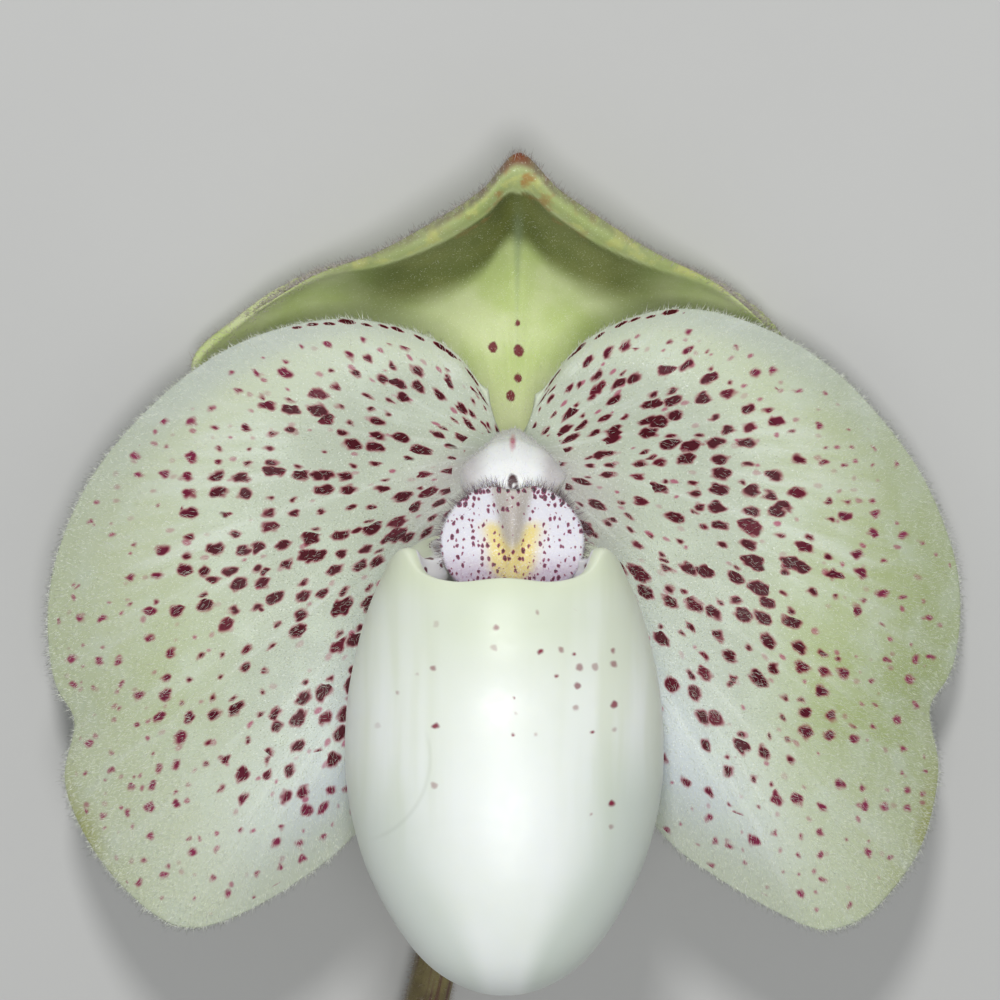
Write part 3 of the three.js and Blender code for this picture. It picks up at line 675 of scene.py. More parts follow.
def sepalMaterial():
    care = hoodCare
    skin = Skin("sepal skin", care["lime"])
    grain = skin.noise(7.5, 2.0, 0.6)
    skin.over(skin.patches(0.22, 3.0, 0.3, 0.7), care["pale"])
    # painted shadow below the hood's rim, in two mottled tones; the synsepal takes the same tones towards its
    # edge
    skin.over("deep", skin.blend(skin.patches(0.22, 4.0, 0.3, 0.7), care["shadow"], care["deep"]))
    for tint in ("byFoot", "midline"):
        skin.over(tint, care[tint])
    skin.over(skin.times("onRim", 0.6), care["rimGreen"])
    skin.over(skin.times(skin.patches(0.6, 3.0, 0.48, 0.62, 0.0, 0.6), "onRim"), care["yellow"])
    skin.over(skin.times(skin.patches(0.7, 3.0, 0.52, 0.68, 0.0, 0.8), "nearTip"), care["orange"])
    skin.over(skin.times("mauve", skin.patches(1.4, 3.0, 0.25, 0.6, 0.5, 1.0)), care["mauve"])
    skin.over("tip", care["tip"])
    skin.over(skin.ease(grain, 0.6, 0.76, 0.0, 0.6), care["glint"])
    inSpot = skin.ease(skin.plus("spot", skin.wobble(2.6, 3.0, 0.3)), 0.08, -0.08)
    skin.over(skin.times(inSpot, "strength"), care["spot"])
    height = skin.plus(skin.times(grain, 0.6), skin.noise(2.0, 3.0))
    return skin.finish(grain, height, **care["look"])


# How far below the inner edge of the hood's rim each point lies, in the plane of the face.
def belowRim(face, points):
    w = np.linspace(0.19, 0.81, 400)
    rim = face(1 - hoodRimWidth(w), w)
    order = np.argsort(rim[:, 0])
    return np.interp(points[:, 0], rim[order, 0], rim[order, 1]) - points[:, 1]


# How far each point is from its nearest spot, in mm and negative inside, and how dark that spot is.
def hoodSpots(points, isFront):
    distance, strength = np.full(len(points), 0.8), np.zeros(len(points))
    inside = np.flatnonzero(isFront > 0.5)
    for x, y, size in hoodCare["spots"]:
        nearest = inside[np.argmin((points[inside, 0] - x) ** 2 + (points[inside, 1] - y) ** 2)]
        dx, dy, dz = (points - points[nearest]).T
        oval = np.sqrt((dy / (size * hoodCare["spotLength"])) ** 2 + (dx / size) ** 2)
        gap = (oval - 1) * size + np.maximum(0, np.abs(dz) - 1.5)
        strength[gap < distance] = hoodCare["spotStrength"]
        distance = np.minimum(distance, gap)
    return distance, strength * isFront


def hoodTints(face, points, t, w, isFront):
    care, band = hoodCare, hoodCare["band"]
    rimStart = 1 - hoodRimWidth(w)
    mauve = np.maximum(0.85 * rise(t, 0.935, 0.035) * pulse(w, 0.5, 0.17),
                       (1 - isFront) * 0.5 * rise(t, 0.7, 0.25) * pulse(w, 0.5, 0.2))
    midWidth = mixed(0.006, 0.011, rise(t, 0.5, 0.3))
    midline = mixed(0.18, 0.55, rise(t, 0.4, 0.3)) * pulse(w, care["keelAt"], midWidth)
    aside = np.abs(points[:, 0] - care["tipX"])
    paintedShadowWidth = mixed(band["side"], band["middle"], pulse(aside, 0, band["width"]))
    paintedShadowWidth = paintedShadowWidth - band["peak"] * pulse(aside, 0, band["peakWidth"])
    # painted shadow cast by the rim: a band below its inner edge, widest near the middle and gone towards the
    # sides
    inPaintedShadow = fall(belowRim(face, points), paintedShadowWidth, mixed(1.5, 2.6, smooth(aside / 9))) * fall(aside, 8, 7)
    spot, strength = hoodSpots(points, isFront)
    return {
        # the painted shadow, darkest at the middle and stopping just short of the rim
        "deep": mixed(0.86, 1.0, pulse(aside, 0, 2.5)) * fall(t, rimStart - 0.004, 0.012) * inPaintedShadow * isFront,
        "byFoot": 0.75 * fall(points[:, 1], 6.5, 5) * isFront, "mauve": mauve,
        "spot": spot, "strength": strength,
        "midline": midline * isFront * rise(t, 0.2, 0.2) * (1 - 0.8 * rise(t, 0.7, 0.14)),
        "tip": pulse(w, care["keelAt"], 0.02) * rise(t, 0.93, 0.045),
        "onRim": rise(t, rimStart, 0.02) * isFront,
        "nearTip": pulse(w, care["keelAt"], 0.09) * rise(t, 0.84, 0.04)}


def synsepalTints(t, w):
    none = 0 * t
    return {"byFoot": none, "strength": none, "onRim": none, "nearTip": none, "spot": none + 1,
            "deep": 0.3 * smooth(t), "midline": 0.4 * pulse(w, 0.5, 0.012), "mauve": 0.3 * rise(t, 0.9, 0.1),
            "tip": pulse(w, 0.5, 0.05) * rise(t, 0.95, 0.05)}


def growSepalDown(name, face, organ, material, rng):
    def care(part):
        return dict(sepalHairs, count=organ[part + "Hairs"], length=organ["hairLength"], **sepalHairs[part])

    back = hairsOver(face, care("back"), rng, organ=organ)
    rim = hairsAtRim(face, care("rim"), rng, organ)
    growHairs(name, [np.concatenate(both) for both in zip(back, rim)], sepalHairs, material, rng)


def buildSepals():
    def offRim(t, w):
        return 1 - 0.85 * rise(t, 0.5, 0.2)

    skin = sepalMaterial()
    rng = np.random.default_rng(hoodCare["seed"])
    organ = dict(hoodCare, relief=hoodRelief)
    face = fanFace(organ)
    points, triangles, t, w, isFront, _ = bladeGrid(face, organ)
    tints = hoodTints(face, points, t, w, isFront)
    addPiece("hood", points, triangles, skin, tints, "dorsal_sepal")
    growSepalDown("hoodDown", face, organ, hairMaterial("hood down", *organ["hairColours"]),
                  rng)
    pale = hairMaterial("hood inner down", *organ["innerColours"])
    inner = hairsOver(face, organ["innerDown"], rng, offRim)
    growHairs("hoodInnerDown", inner, organ["innerDown"], pale, rng)

    organ = dict(synsepalCare, relief=synsepalRelief)
    face = fanFace(organ)
    points, triangles, t, w, _, _ = bladeGrid(face, organ)
    addPiece("synsepalBlade", points, triangles, skin, synsepalTints(t, w), "synsepal")
    growSepalDown("synsepalDown", face, organ, hairMaterial("sepal down", *organ["hairColours"]),
                  rng)


pouchCare = {
    "midX": -0.6, "wall": 1.0, "toeY": -36.9, "toeZ": 12.4, "mouthZ": 8.8, "rows": 130, "innerRows": 56,
    "sides": 176, "lipRound": 10, "lipStart": 0.989,
    "sections": [  # y, half width, half depth and z of the middle
        (-36.3, 3.0, 2.6, 12.4), (-34.4, 5.9, 5.1, 12.2), (-31.0, 8.5, 7.3, 11.8),
        (-26.6, 10.6, 9.0, 11.3), (-21.2, 11.8, 10.0, 10.8), (-15.6, 11.8, 9.9, 10.4),
        (-11.2, 11.05, 9.0, 9.9), (-7.6, 10.0, 8.2, 9.6)],
    "mouth": [  # the right half of its edge, from the front to the back
        (0.0, -5.6, 17.0), (3.6, -5.9, 16.6), (6.1, -5.2, 15.4), (7.5, -3.4, 13.6), (8.5, -4.3, 11.2),
        (7.9, -4.0, 8.8), (6.9, -3.2, 6.2), (5.6, -2.6, 3.6), (3.0, -1.9, 1.4), (0.0, -1.4, 0.4)],
    "fold": {"angle": -0.06, "width": 0.44, "right": 2.6, "left": 3.0, "rise": 0.16, "lift": 0.1},
    "inwards": {"more": 0.45, "by": 0.07, "from": 0.12, "span": 0.22},
    "crease": {"x": -12.6, "y": -18.9, "radius": 6.55, "halfWidth": 0.26, "colour": (160, 168, 152)},
    "spots": {"cell": 1.45, "softness": 0.12, "uneven": 0.5},
    "insideSpots": {"cell": 1.15, "dimensions": "3D"},
    "cluster": {"x": 4.2, "y": -11.5, "halfX": 3.2, "halfY": 3.6},
    "white": (238, 243, 238), "cream": (218, 226, 206), "green": (216, 225, 188), "inside": (236, 234, 234),
    "spot": (134, 30, 62), "insideSpot": (96, 14, 38), "strand": (206, 214, 186), "flankShade": (190, 201, 188),
    "look": {"rough": (0.34, 0.46), "bump": (0.12, 0.08), "glow": 0.55, "glowDepth": 1.4,
             "glowColour": (1.0, 0.95, 0.8), "velvet": 0.08, "gloss": 0.45, "wax": 0.15,
             "waxRoughness": 0.35},
}


# One ring of the wall at height h, from the toe (0) to the mouth (1), set in from the outside by inset.
def pouchPoint(h, turn, inset):
    care = pouchCare
    y, half, deep, z = np.array(care["sections"]).T
    cos, sin = np.cos(turn)[:, None], np.sin(turn)[:, None]
    levels = np.stack([care["midX"] + (half - inset) * cos, y + inset * (1 - half / half.max()) + 0 * cos,
                       z + (deep - inset) * sin], -1)
    right = np.array(care["mouth"])
    loop = np.vstack([right, right[-2:0:-1] * [-1, 1, 1]])
    mouth = curveThrough(loop, (0.25 - turn / (2 * np.pi)) % 1, closed=True) + [care["midX"], 0, 0]
    goal = np.stack([np.full_like(turn, care["midX"]), mouth[:, 1] - 4,
                     np.full_like(turn, care["mouthZ"])], -1)
    mouth = mouth + unit(goal - mouth) * inset
    toe = np.array([care["midX"], care["toeY"] + inset, care["toeZ"]]) + np.zeros_like(mouth)
    across = levels[:, 0] * [-1, 1, -1] + [2 * care["midX"], 0, 2 * care["toeZ"]]
    profile = np.concatenate([across[:, None], toe[:, None], levels, mouth[:, None]], 1)
    spans = levels.shape[1] + 2
    return curveThrough(np.moveaxis(profile, 1, 0), (1 + h * (spans - 1)) / spans)


def pouchMaterial():
    care = pouchCare
    skin = Skin("pouch wax", care["white"])
    for tint in ("cream", "green", "inside"):
        skin.over(tint, care[tint])
    skin.over(skin.patches(0.12, 3.0, 0.4, 0.75, 0.0, 0.22), care["cream"])
    leaf = skin.read("leaf", "Vector")
    strands = skin.noise(1.0, 3.0, place=skin.vector("MULTIPLY", leaf, (0.4, 0.035, 0.0))["Vector"])
    skin.over(skin.times(skin.ease(strands, 0.42, 0.66), "strandShare"), care["strand"])
    # painted shade on the lower sides of the pouch
    skin.over("flankShade", care["flankShade"])
    cover, _, chance = skin.spots(leaf, "spotSize", "spotShare", **care["spots"])
    skin.over(skin.times(cover, skin.ease(chance, 0, 0.8, 0.15, 1.0)), care["spot"])
    cover, _, _ = skin.spots(skin.place, "insideSize", "insideShare", **care["insideSpots"])
    skin.over(cover, care["insideSpot"])
    arc = care["crease"]
    fromArc = skin.vector("DISTANCE", leaf, (arc["x"], arc["y"], 0.0))["Value"]
    fromArc = skin.calculate("ABSOLUTE", skin.minus(fromArc, arc["radius"]))
    crease = skin.times(skin.ease(fromArc, arc["halfWidth"], 0.0), "creaseSpan")
    # a faint painted shade along the crease, as well as the groove that the bump cuts below
    skin.over(skin.times(crease, 0.15), arc["colour"])
    height = skin.plus(skin.times(skin.noise(5.0, 2.0), 0.35), skin.noise(0.7, 2.0))
    height = skin.minus(height, skin.times(crease, 0.7))
    return skin.finish(skin.noise(1.2, 3.0), height, **care["look"])


# The sides of the mouth fold in towards the column as two pale lobes.
def foldIn(rings, shares, turn):
    fold = pouchCare["fold"]
    for sign, lean, full in ((1, fold["angle"], fold["right"]), (-1, math.pi - fold["angle"], fold["left"])):
        off = (turn - lean + math.pi) % (2 * math.pi) - math.pi
        reach = full * pulse(off, 0, fold["width"])
        for ring, share in zip(rings, shares):
            ring += np.outer(reach * share, [-sign, fold["rise"], fold["lift"]])


def pouchTints(points, isInner):
    care, group = pouchCare, pouchCare["cluster"]
    x, y, z = points.T
    aside, isOuter, onRight = np.abs(x - care["midX"]), 1 - isInner, x > 0
    cluster = pulse(np.hypot((x - group["x"]) / group["halfX"], (y - group["y"]) / group["halfY"]), 0, 1)
    spotShare = (0.3 * rise(y, -20, 4) * smooth((-6.6 - y) / 1.5) + 0.4 * cluster + 0.02) * rise(z, 14.5, 3)
    # painted shade on the lower sides of the rounded wall, a little stronger on the right
    flankShade = rise(aside / (3 + 8.6 * rise(y, -37, 14)), 0.3, 0.5) * smooth((mixed(-17, -15, onRight) - y) / 8)
    cream = np.clip(rise(y, -16, 10) + 0.25 * rise(y, -26, 12), 0, 1) * (1 - 0.5 * rise(aside, 2, 7))
    creaseSpan = smooth((-16.6 - y) / 1.5) * rise(x, -11.0, 2.0) * (x < -3) * (z > 14)
    return {
        "leaf": np.column_stack([x, y, 0 * x]), "inside": isInner * 0.8, "cream": cream * isOuter,
        "green": 0.5 * rise(y, -8.2, 3.0) * isOuter, "flankShade": mixed(0.4, 0.6, onRight) * flankShade * isOuter,
        "strandShare": 0.45 * rise(aside, 2.5, 5) * rise(y, -29, 8) * isOuter,
        "spotSize": 0.16 + 0.04 * cluster, "spotShare": spotShare * isOuter,
        "creaseSpan": creaseSpan * isOuter,
        "insideSize": 0.3 + 0 * x, "insideShare": 0.6 * isInner * rise(y, -15, 8)}


def buildPouch():
    care = pouchCare
    turn = around(care["sides"])
    heights = np.linspace(0, 1, care["rows"]) ** 0.9 * care["lipStart"]
    innerHeights = np.linspace(1, 0, care["innerRows"]) ** 0.9 * care["lipStart"]
    outer = [pouchPoint(h, turn, 0.0) for h in heights]
    inner = [pouchPoint(h, turn, care["wall"]) for h in innerHeights]
    middle = (outer[-1] + inner[0]) / 2
    top = (pouchPoint(1.0, turn, 0.0) + pouchPoint(1.0, turn, care["wall"])) / 2
    steps = np.arange(1, care["lipRound"])
    lip = [middle + (outer[-1] - middle) * math.cos(angle) + (top - middle) * math.sin(angle)
           for angle in math.pi * steps / care["lipRound"]]
    foldIn(lip, smooth(steps / care["lipRound"]), turn)
    inwards, depth = care["inwards"], care["lipStart"] - innerHeights
    foldIn(inner, (1 + inwards["more"] * smooth(depth / inwards["by"]))
           * fall(depth, inwards["from"], inwards["span"]), turn)
    rings = np.array(outer + lip + inner)
    isInner = np.arange(len(rings)) > care["rows"] + care["lipRound"] // 2
    isInner = np.repeat(isInner, care["sides"]).astype(float)
    tints = pouchTints(rings.reshape(-1, 3), isInner)
    addTube("pouch", rings, pouchMaterial(), tints, "lip_pouch")


columnCare = {
    "sections": [  # y and z of the middle, half width and half height
        (2.5, -4.4, 2.6, 2.6), (2.5, -2.4, 2.6, 2.6), (2.5, -1.0, 2.8, 3.0), (2.3, 1.0, 3.2, 2.8),
        (2.1, 2.6, 3.7, 2.7), (1.8, 4.2, 4.0, 2.6), (1.2, 5.8, 3.4, 2.0), (0.8, 6.8, 1.8, 1.1)],
    "rows": 90, "sides": 140, "narrowing": 0.32, "flutes": 9, "seed": 61,
    "white": (243, 245, 244), "shade": (206, 202, 202), "pink": (196, 96, 126), "dark": (70, 34, 40),
    "hairs": {"count": 2600, "length": (0.2, 0.5), "thickness": 0.012},
    "hairColours": [(214, 210, 208), (250, 250, 250)],
    "look": {"rough": (0.55, 0.4), "bump": (0.25, 0.05), "glow": 0.4, "glowDepth": 0.8, "velvet": 0.15,
             "gloss": 0.4},
}


def columnMaterial():
    care = columnCare
    skin = Skin("column flesh", care["white"])
    grain, wobble = skin.noise(6.0, 2.0, 0.6), skin.wobble(2.4, 3.0, 0.3)
    # painted shade on the flanks and towards the foot, mottled
    skin.over(skin.times("flankShade", skin.patches(0.7, 3.0, 0.2, 0.8, 0.7, 1.2)), care["shade"])
    skin.over(skin.ease(skin.plus("pink", wobble), 0.2, -0.25), care["pink"])
    skin.over(skin.ease(skin.plus("dark", wobble), 0.08, -0.08), care["dark"])
    return skin.finish(grain, grain, **care["look"])


# A pink stroke along the column's upper side, a dark oval with a pale eye near its front, and painted shade
# on its flanks and towards its foot.
def columnTints(points):
    x, y, z = points.T
    stroke = np.linalg.norm((points - [0.05, 4.4, 3.3]) / [0.22, 0.7, 2.4], axis=1) * 0.3 - 0.3
    crown = np.hypot((x - 0.05) / mixed(0.42, 0.62, smooth((1.9 - y) / 1.2)), (y - 1.3) / 0.85)
    eye = 0.32 * pulse(np.hypot(x - 0.1, y - 1.15), 0, 0.16)
    return {"pink": stroke, "dark": (crown - 0.8) * 0.4 + eye + np.where(z > 4, 0, 2),
            "flankShade": np.clip(rise(np.abs(x), 1.5, 1.7) + fall(z, -0.6, 3.2), 0, 1)}


def buildColumn():
    care = columnCare
    along = np.linspace(0, 1, care["rows"])
    y, z, wide, high = curveThrough(care["sections"], along).T[..., None]
    turn = around(care["sides"])[None]
    cos, sin = np.cos(turn), np.sin(turn)
    flute = 1 + 0.02 * np.cos(care["flutes"] * turn) * smooth(along * 3)[:, None]
    narrow = 1 - care["narrowing"] * np.maximum(sin, 0) ** 1.5
    rings = np.stack([wide * cos * narrow * flute, y + high * sin * flute, z + 0 * cos], -1)
    foot, tip = ringEnds(rings)
    tip[:, 2] += 0.15
    dome = [mixed(rings[-1], tip, 0.35) + [0, 0, 0.1], mixed(rings[-1], tip, 0.7) + [0, 0, 0.05]]
    rings = np.concatenate([foot[None], rings, dome, tip[None]])
    points = rings.reshape(-1, 3)
    addTube("columnBody", rings, columnMaterial(), columnTints(points), "column")
    rng = np.random.default_rng(care["seed"])
    hairs = care["hairs"]
    root = points[rng.choice(np.flatnonzero(points[:, 2] > -1.5), hairs["count"])]
    outwards = unit(root - [0, 1.4, 1.5]) + rng.normal(0, 0.35, root.shape)
    root = root + rng.normal(0, 0.04, root.shape)
    hair = hairMaterial("column down", *care["hairColours"])
    length = rng.uniform(*hairs["length"], len(root))
    growHairs("columnDown", (root, outwards, length), hairs, hair, rng)


staminodeCare = {
    "centre": (0.0, -3.2, 10.2), "half": (5.45, 4.6), "swell": 1.5, "groove": 1.7, "thickness": 0.9,
    "tilt": 18.0, "notch": 0.13, "notchWidth": 0.24, "rim": 0.955, "rimSteps": 8,
    "rows": 56, "sides": 200, "backRows": 12,
    "dots": {"cell": 0.38, "softness": 0.035, "uneven": 0.7, "warp": 0.13, "stirScale": 3.5, "jitter": 0.92},
    "dotSize": 0.092, "seed": 71,
    "white": (230, 229, 236), "lilac": (220, 200, 220), "yellow": (232, 214, 134), "grey": (186, 178, 166),
    "glint": (248, 248, 252), "dot": (42, 0, 22), "dotEdge": (150, 30, 90), "blush": (180, 130, 170),
    "down": {"count": 2200, "length": (0.12, 0.3), "thickness": 0.009},
    "hairs": {"count": 620, "length": (0.5, 1.15), "thickness": 0.012, "bend": 0.35, "joints": 2},
    "downColours": [(214, 206, 222), (250, 250, 252)], "hairColours": [(58, 34, 48), (150, 128, 140)],
    "look": {"rough": (0.6, 0.35), "bump": (0.45, 0.05), "glow": 0.3, "glowDepth": 0.5, "velvet": 0.3,
             "gloss": 0.45},
}


def staminodePoint(r, turn):
    care = staminodeCare
    notch = 1 - care["notch"] * pulse(turn, np.pi / 2, care["notchWidth"])
    x = r * care["half"][0] * notch * np.cos(turn)
    y = r * care["half"][1] * notch * np.sin(turn)
    width = 0.5 + 0.75 * rise(y, -1.2, 5.5)
    groove = care["groove"] * pulse(x, 0, width) * rise(y, -2.6, 4) * (1 - 0.5 * r ** 4)
    z = care["swell"] * (1 - r * r) - groove - math.tan(math.radians(care["tilt"])) * y
    return np.stack([x, y, z], -1) + care["centre"]


def staminodeMaterial():
    care = staminodeCare
    skin = Skin("staminode skin", care["white"])
    grain = skin.noise(7.0, 2.0, 0.65)
    for tint in ("lilac", "yellow", "grey"):
        skin.over(tint, care[tint])
    skin.over(skin.ease(grain, 0.56, 0.72, 0.0, 0.75), care["glint"])
    skin.over(skin.times("lilac", skin.patches(4.0, 3.0, 0.5, 0.7, 0.0, 0.6)), care["blush"])
    cover, deep, _ = skin.spots(skin.read("leaf", "Vector"), "dotSize", "dotShare", **care["dots"])
    skin.over(skin.times(cover, 0.94), skin.blend(deep, care["dotEdge"], care["dot"]))
    return skin.finish(grain, grain, **care["look"])


# Two yellow wings beside a grey V in the groove, lilac below, and dots that are densest at the upper rim.
def staminodeTints(points, isFront):
    care = staminodeCare
    x, y = points[:, 0] - care["centre"][0], points[:, 1] - care["centre"][1]
    fromV = np.abs(x) - 0.1 - 0.27 * (y + 0.9)
    vShape = rise(y, -1.2, 1.6) * fall(fromV, -0.2, 0.7)
    wings = pulse(fromV, 0.8, 0.8) * rise(y, -3.0, 1.2) * fall(y, 0.9, 1.1)
    below = pulse(np.hypot(x / 1.3, (y + 1.4) / 1.3), 0, 1) + 0.35 * pulse(x, 0, 0.9) * (y < -1)
    angle, reach = np.arctan2(y, x), np.hypot(x / care["half"][0], y / care["half"][1])
    upperRim = rise(reach, 0.72, 0.2) * rise(np.sin(angle), 0.35, 0.3)
    lower = fall(y, -3.4, 2.2)
    return {
        "lilac": 0.75 * fall(y, -2.8, 2.4) * isFront, "yellow": np.clip(wings + below, 0, 0.95) * isFront,
        "grey": 0.85 * vShape * isFront, "leaf": np.column_stack([x, 0.75 * y, 0 * x]),
        "dotSize": care["dotSize"] * (1 + 0.5 * upperRim - 0.15 * lower),
        "dotShare": isFront * np.clip(0.62 + 0.38 * upperRim + 0.3 * lower - 0.4 * vShape, 0, 1)}


def buildStaminode():
    care = staminodeCare
    turn, rim, deep = around(care["sides"]), care["rim"], care["thickness"]
    rings = [staminodePoint(r + 0 * turn, turn) for r in np.linspace(0, rim, care["rows"])]
    for step in range(1, care["rimSteps"]):
        angle = math.pi * step / care["rimSteps"]
        rings.append(staminodePoint(rim + (1 - rim) * math.sin(angle) + 0 * turn, turn)
                     - [0, 0, deep / 2 * (1 - math.cos(angle))])
    rings += [staminodePoint(r + 0 * turn, turn) - [0, 0, deep]
              for r in np.linspace(rim, 0, care["backRows"])]
    rings = np.array(rings)
    isFront = np.arange(len(rings)) < care["rows"] + care["rimSteps"] // 2
    isFront = np.repeat(isFront, care["sides"]).astype(float)
    addTube("staminodeShield", rings, staminodeMaterial(), staminodeTints(rings.reshape(-1, 3), isFront),
            "staminode")

    # fine down over the lobes and longer dark hairs on the upper rim
    def grow(name, care, root, angle, forwards, spread, material):
        outwards = np.stack([np.cos(angle), np.sin(angle), forwards + 0 * angle], -1)
        outwards = outwards + rng.normal(0, spread, outwards.shape)
        length = rng.uniform(*care["length"], len(root))
        growHairs(name, (root, outwards, length), care, material, rng)

    rng = np.random.default_rng(care["seed"])
    count = care["down"]["count"]
    r, angle = np.sqrt(rng.random(count)) * 0.97, rng.uniform(0, 2 * np.pi, count)
    down = hairMaterial("staminode down", *care["downColours"])
    grow("staminodeDown", care["down"], staminodePoint(r, angle), angle, 0.9, 0.4, down)
    count = care["hairs"]["count"]
    angle = rng.uniform(-0.12, 1.12, count) * np.pi
    angle = np.where(np.abs(angle - np.pi / 2) < 0.12, angle + 0.3, angle)
    root = staminodePoint(rng.uniform(0.93, 1.0, count), angle) - [0, 0, 0.2]
    dark = hairMaterial("staminode hairs", *care["hairColours"], 0.05)
    grow("staminodeHairs", care["hairs"], root, angle, 0.25, 0.22, dark)


stigmaCare = {
    "seat": (0, -1.4, 4.4), "slope": -0.35, "sides": 48, "rows": 30,
    "profile": [(0, 0.8), (0.7, 0.8), (1.1, 1.7), (1.7, 1.75), (2.1, 1.2)],  # drop and radius
    "low": (206, 214, 186), "high": (232, 236, 214), "mottle": 1.5,
    "look": {"rough": (0.2, 0.35), "bump": (0.2, 0.05), "glow": 0.4, "glowDepth": 0.6, "wax": 0.4,
             "gloss": 0.5},
}


def buildStigma():
    care = stigmaCare
    down = unit(np.array([0, -1.0, care["slope"]]))
    forward = np.array([0, down[2], -down[1]])
    seat, turn = np.array(care["seat"]), around(care["sides"])[:, None]
    drop, radius = curveThrough(care["profile"], np.linspace(0, 1, care["rows"])).T
    drop[0] -= 0.4  # the neck starts inside the column
    rings = [seat + down * d + r * (np.cos(turn) * [1, 0, 0] + np.sin(turn) * forward)
             for d, r in zip(drop, radius)]
    rings += [mixed(rings[-1], (seat + down * (drop[-1] + 0.06))[None], share) for share in (0.5, 1.0)]
    rings.insert(0, np.repeat(rings[0].mean(0, keepdims=True), care["sides"], 0))
    addTube("stigmaDisc", rings, simpleMaterial("stigma flesh", care), {}, "stigma")


antherCare = {
    "seat": (3.4, -1.3, 5.2), "turn": 0.5, "lean": 0.3, "half": (0.72, 0.95, 1.1), "rows": 28, "sides": 40,
    "seamDepth": 0.14, "seamWidth": 0.16, "low": (206, 172, 62), "high": (236, 210, 112), "mottle": 2.0,
    "look": {"rough": (0.35, 0.5), "bump": (0.3, 0.05), "glow": 0.3, "glowDepth": 0.4, "gloss": 0.5},
}


def buildAnthers():
    care = antherCare
    material = simpleMaterial("anther wax", care)
    lat, lon = np.linspace(0, np.pi, care["rows"])[:, None], around(care["sides"])[None]
    ball = np.stack([np.sin(lat) * np.cos(lon), np.cos(lat) + 0 * lon, np.sin(lat) * np.sin(lon)], -1)
    seam = 1 - care["seamDepth"] * pulse(ball[..., 0], 0, care["seamWidth"]) * (ball[..., 2] > 0)
    ball = ball * seam[..., None] * care["half"]
    for side, name in ((-1, "left"), (1, "right")):
        turned = np.array(Matrix.Rotation(care["lean"], 3, "X")
                          @ Matrix.Rotation(side * -care["turn"], 3, "Z"))
        rings = ball @ turned.T + np.array(care["seat"]) * [side, 1, 1]
        addTube(name + "Anther", rings, material, {}, "anther_" + name)


stalkCare = {
    "topZ": -4.7, "bend": 75.0, "bendLength": 4.5, "lean": 13.0, "leanStart": 10.0, "leanLength": 14.0,
    "ovary": 34.0, "gap": 0.3, "stem": 32.0, "step": 0.125, "stemTop": 1.65, "stemCut": 1.85,
    "girth": {"top": 2.2, "middle": 2.25, "foot": 1.65, "widestAt": 0.35}, "ribs": 6, "ribDepth": 0.09,
    "ovaryColours": [(118, 124, 74), (148, 152, 96), (104, 66, 60)],  # low, high and streaks
    "stemColours": [(104, 92, 62), (132, 122, 80), (92, 52, 52)], "cut": (172, 170, 118),
    "hairColours": [(120, 84, 84), (206, 194, 170)], "seed": 97,
    "look": {"rough": (0.55, 0.75), "bump": (0.4, 0.06), "glow": 0.1, "glowDepth": 0.4, "velvet": 0.25,
             "gloss": 0.35},
    "ovaryHairs": {"count": 5200, "length": (0.3, 0.7), "thickness": 0.013, "bend": 0.3},
    "stemHairs": {"count": 4600, "length": (0.35, 0.8), "thickness": 0.013, "bend": 0.3},
}


# The stalk's middle line: places, and the two directions across it, at even steps.
def stalkPlaces():
    care = stalkCare
    at = np.array([*flowerAxis, care["topZ"]])
    places = []
    for k in range(int((care["ovary"] + care["gap"] + care["stem"]) / care["step"]) + 2):
        s = k * care["step"]
        bend = math.radians(care["bend"]) * (1 - math.exp(-s / care["bendLength"]))
        lean = math.radians(care["lean"]) * float(rise(s, care["leanStart"], care["leanLength"]))
        sideways = np.array([math.cos(lean), -math.sin(lean), 0])
        forward = (np.array([-math.sin(lean), -math.cos(lean), 0]) * math.sin(bend)
                   + np.array([0, 0, -math.cos(bend)]))
        places.append(np.concatenate([at, sideways, np.cross(sideways, forward)]))
        at = at + forward * care["step"]
    return np.array(places)


stalk = stalkPlaces()


def placeAt(s):
    s = np.asarray(s, float) / stalkCare["step"]
    low = np.clip(np.floor(s).astype(int), 0, len(stalk) - 2)
    found = mixed(stalk[low], stalk[low + 1], (s - low)[..., None])
    return found[..., :3], found[..., 3:6], found[..., 6:9]


def ovaryGirth(t):
    girth = stalkCare["girth"]
    rising = mixed(girth["top"], girth["middle"], smooth(t / girth["widestAt"]))
    falling = mixed(girth["middle"], girth["foot"], rise(t, girth["widestAt"], 1 - girth["widestAt"]))
    return np.where(t < girth["widestAt"], rising, falling)


def ovaryRadius(s, turn):
    care = stalkCare
    t = s / care["ovary"]
    ribs = care["ribDepth"] * smooth(t * 6) * smooth((1 - t) * 3)
    return ovaryGirth(t) * (1 + ribs * np.cos(care["ribs"] * turn) + 0.006 * np.cos(24 * turn + 3 * t))


def stemRadius(s, turn):
    care = stalkCare
    t = (s - care["ovary"] - care["gap"]) / care["stem"]
    return mixed(care["stemTop"], care["stemCut"], t) * (1 + 0.01 * np.cos(11 * turn + 0.2 * s))


def stalkMaterial(name, low, high, streak):
    skin = Skin(name, low)
    grain, lines = skin.noise(5.0, 3.0, 0.6), skin.noise(1.0, 3.0, place=skin.read("strand", "Vector"))
    skin.over(skin.patches(0.35, 3.0, 0.35, 0.7), high)
    skin.over(skin.ease(lines, 0.5, 0.75, 0.0, 0.8), streak)
    skin.over("cut", stalkCare["cut"])
    return skin.finish(grain, skin.plus(grain, lines), **stalkCare["look"])


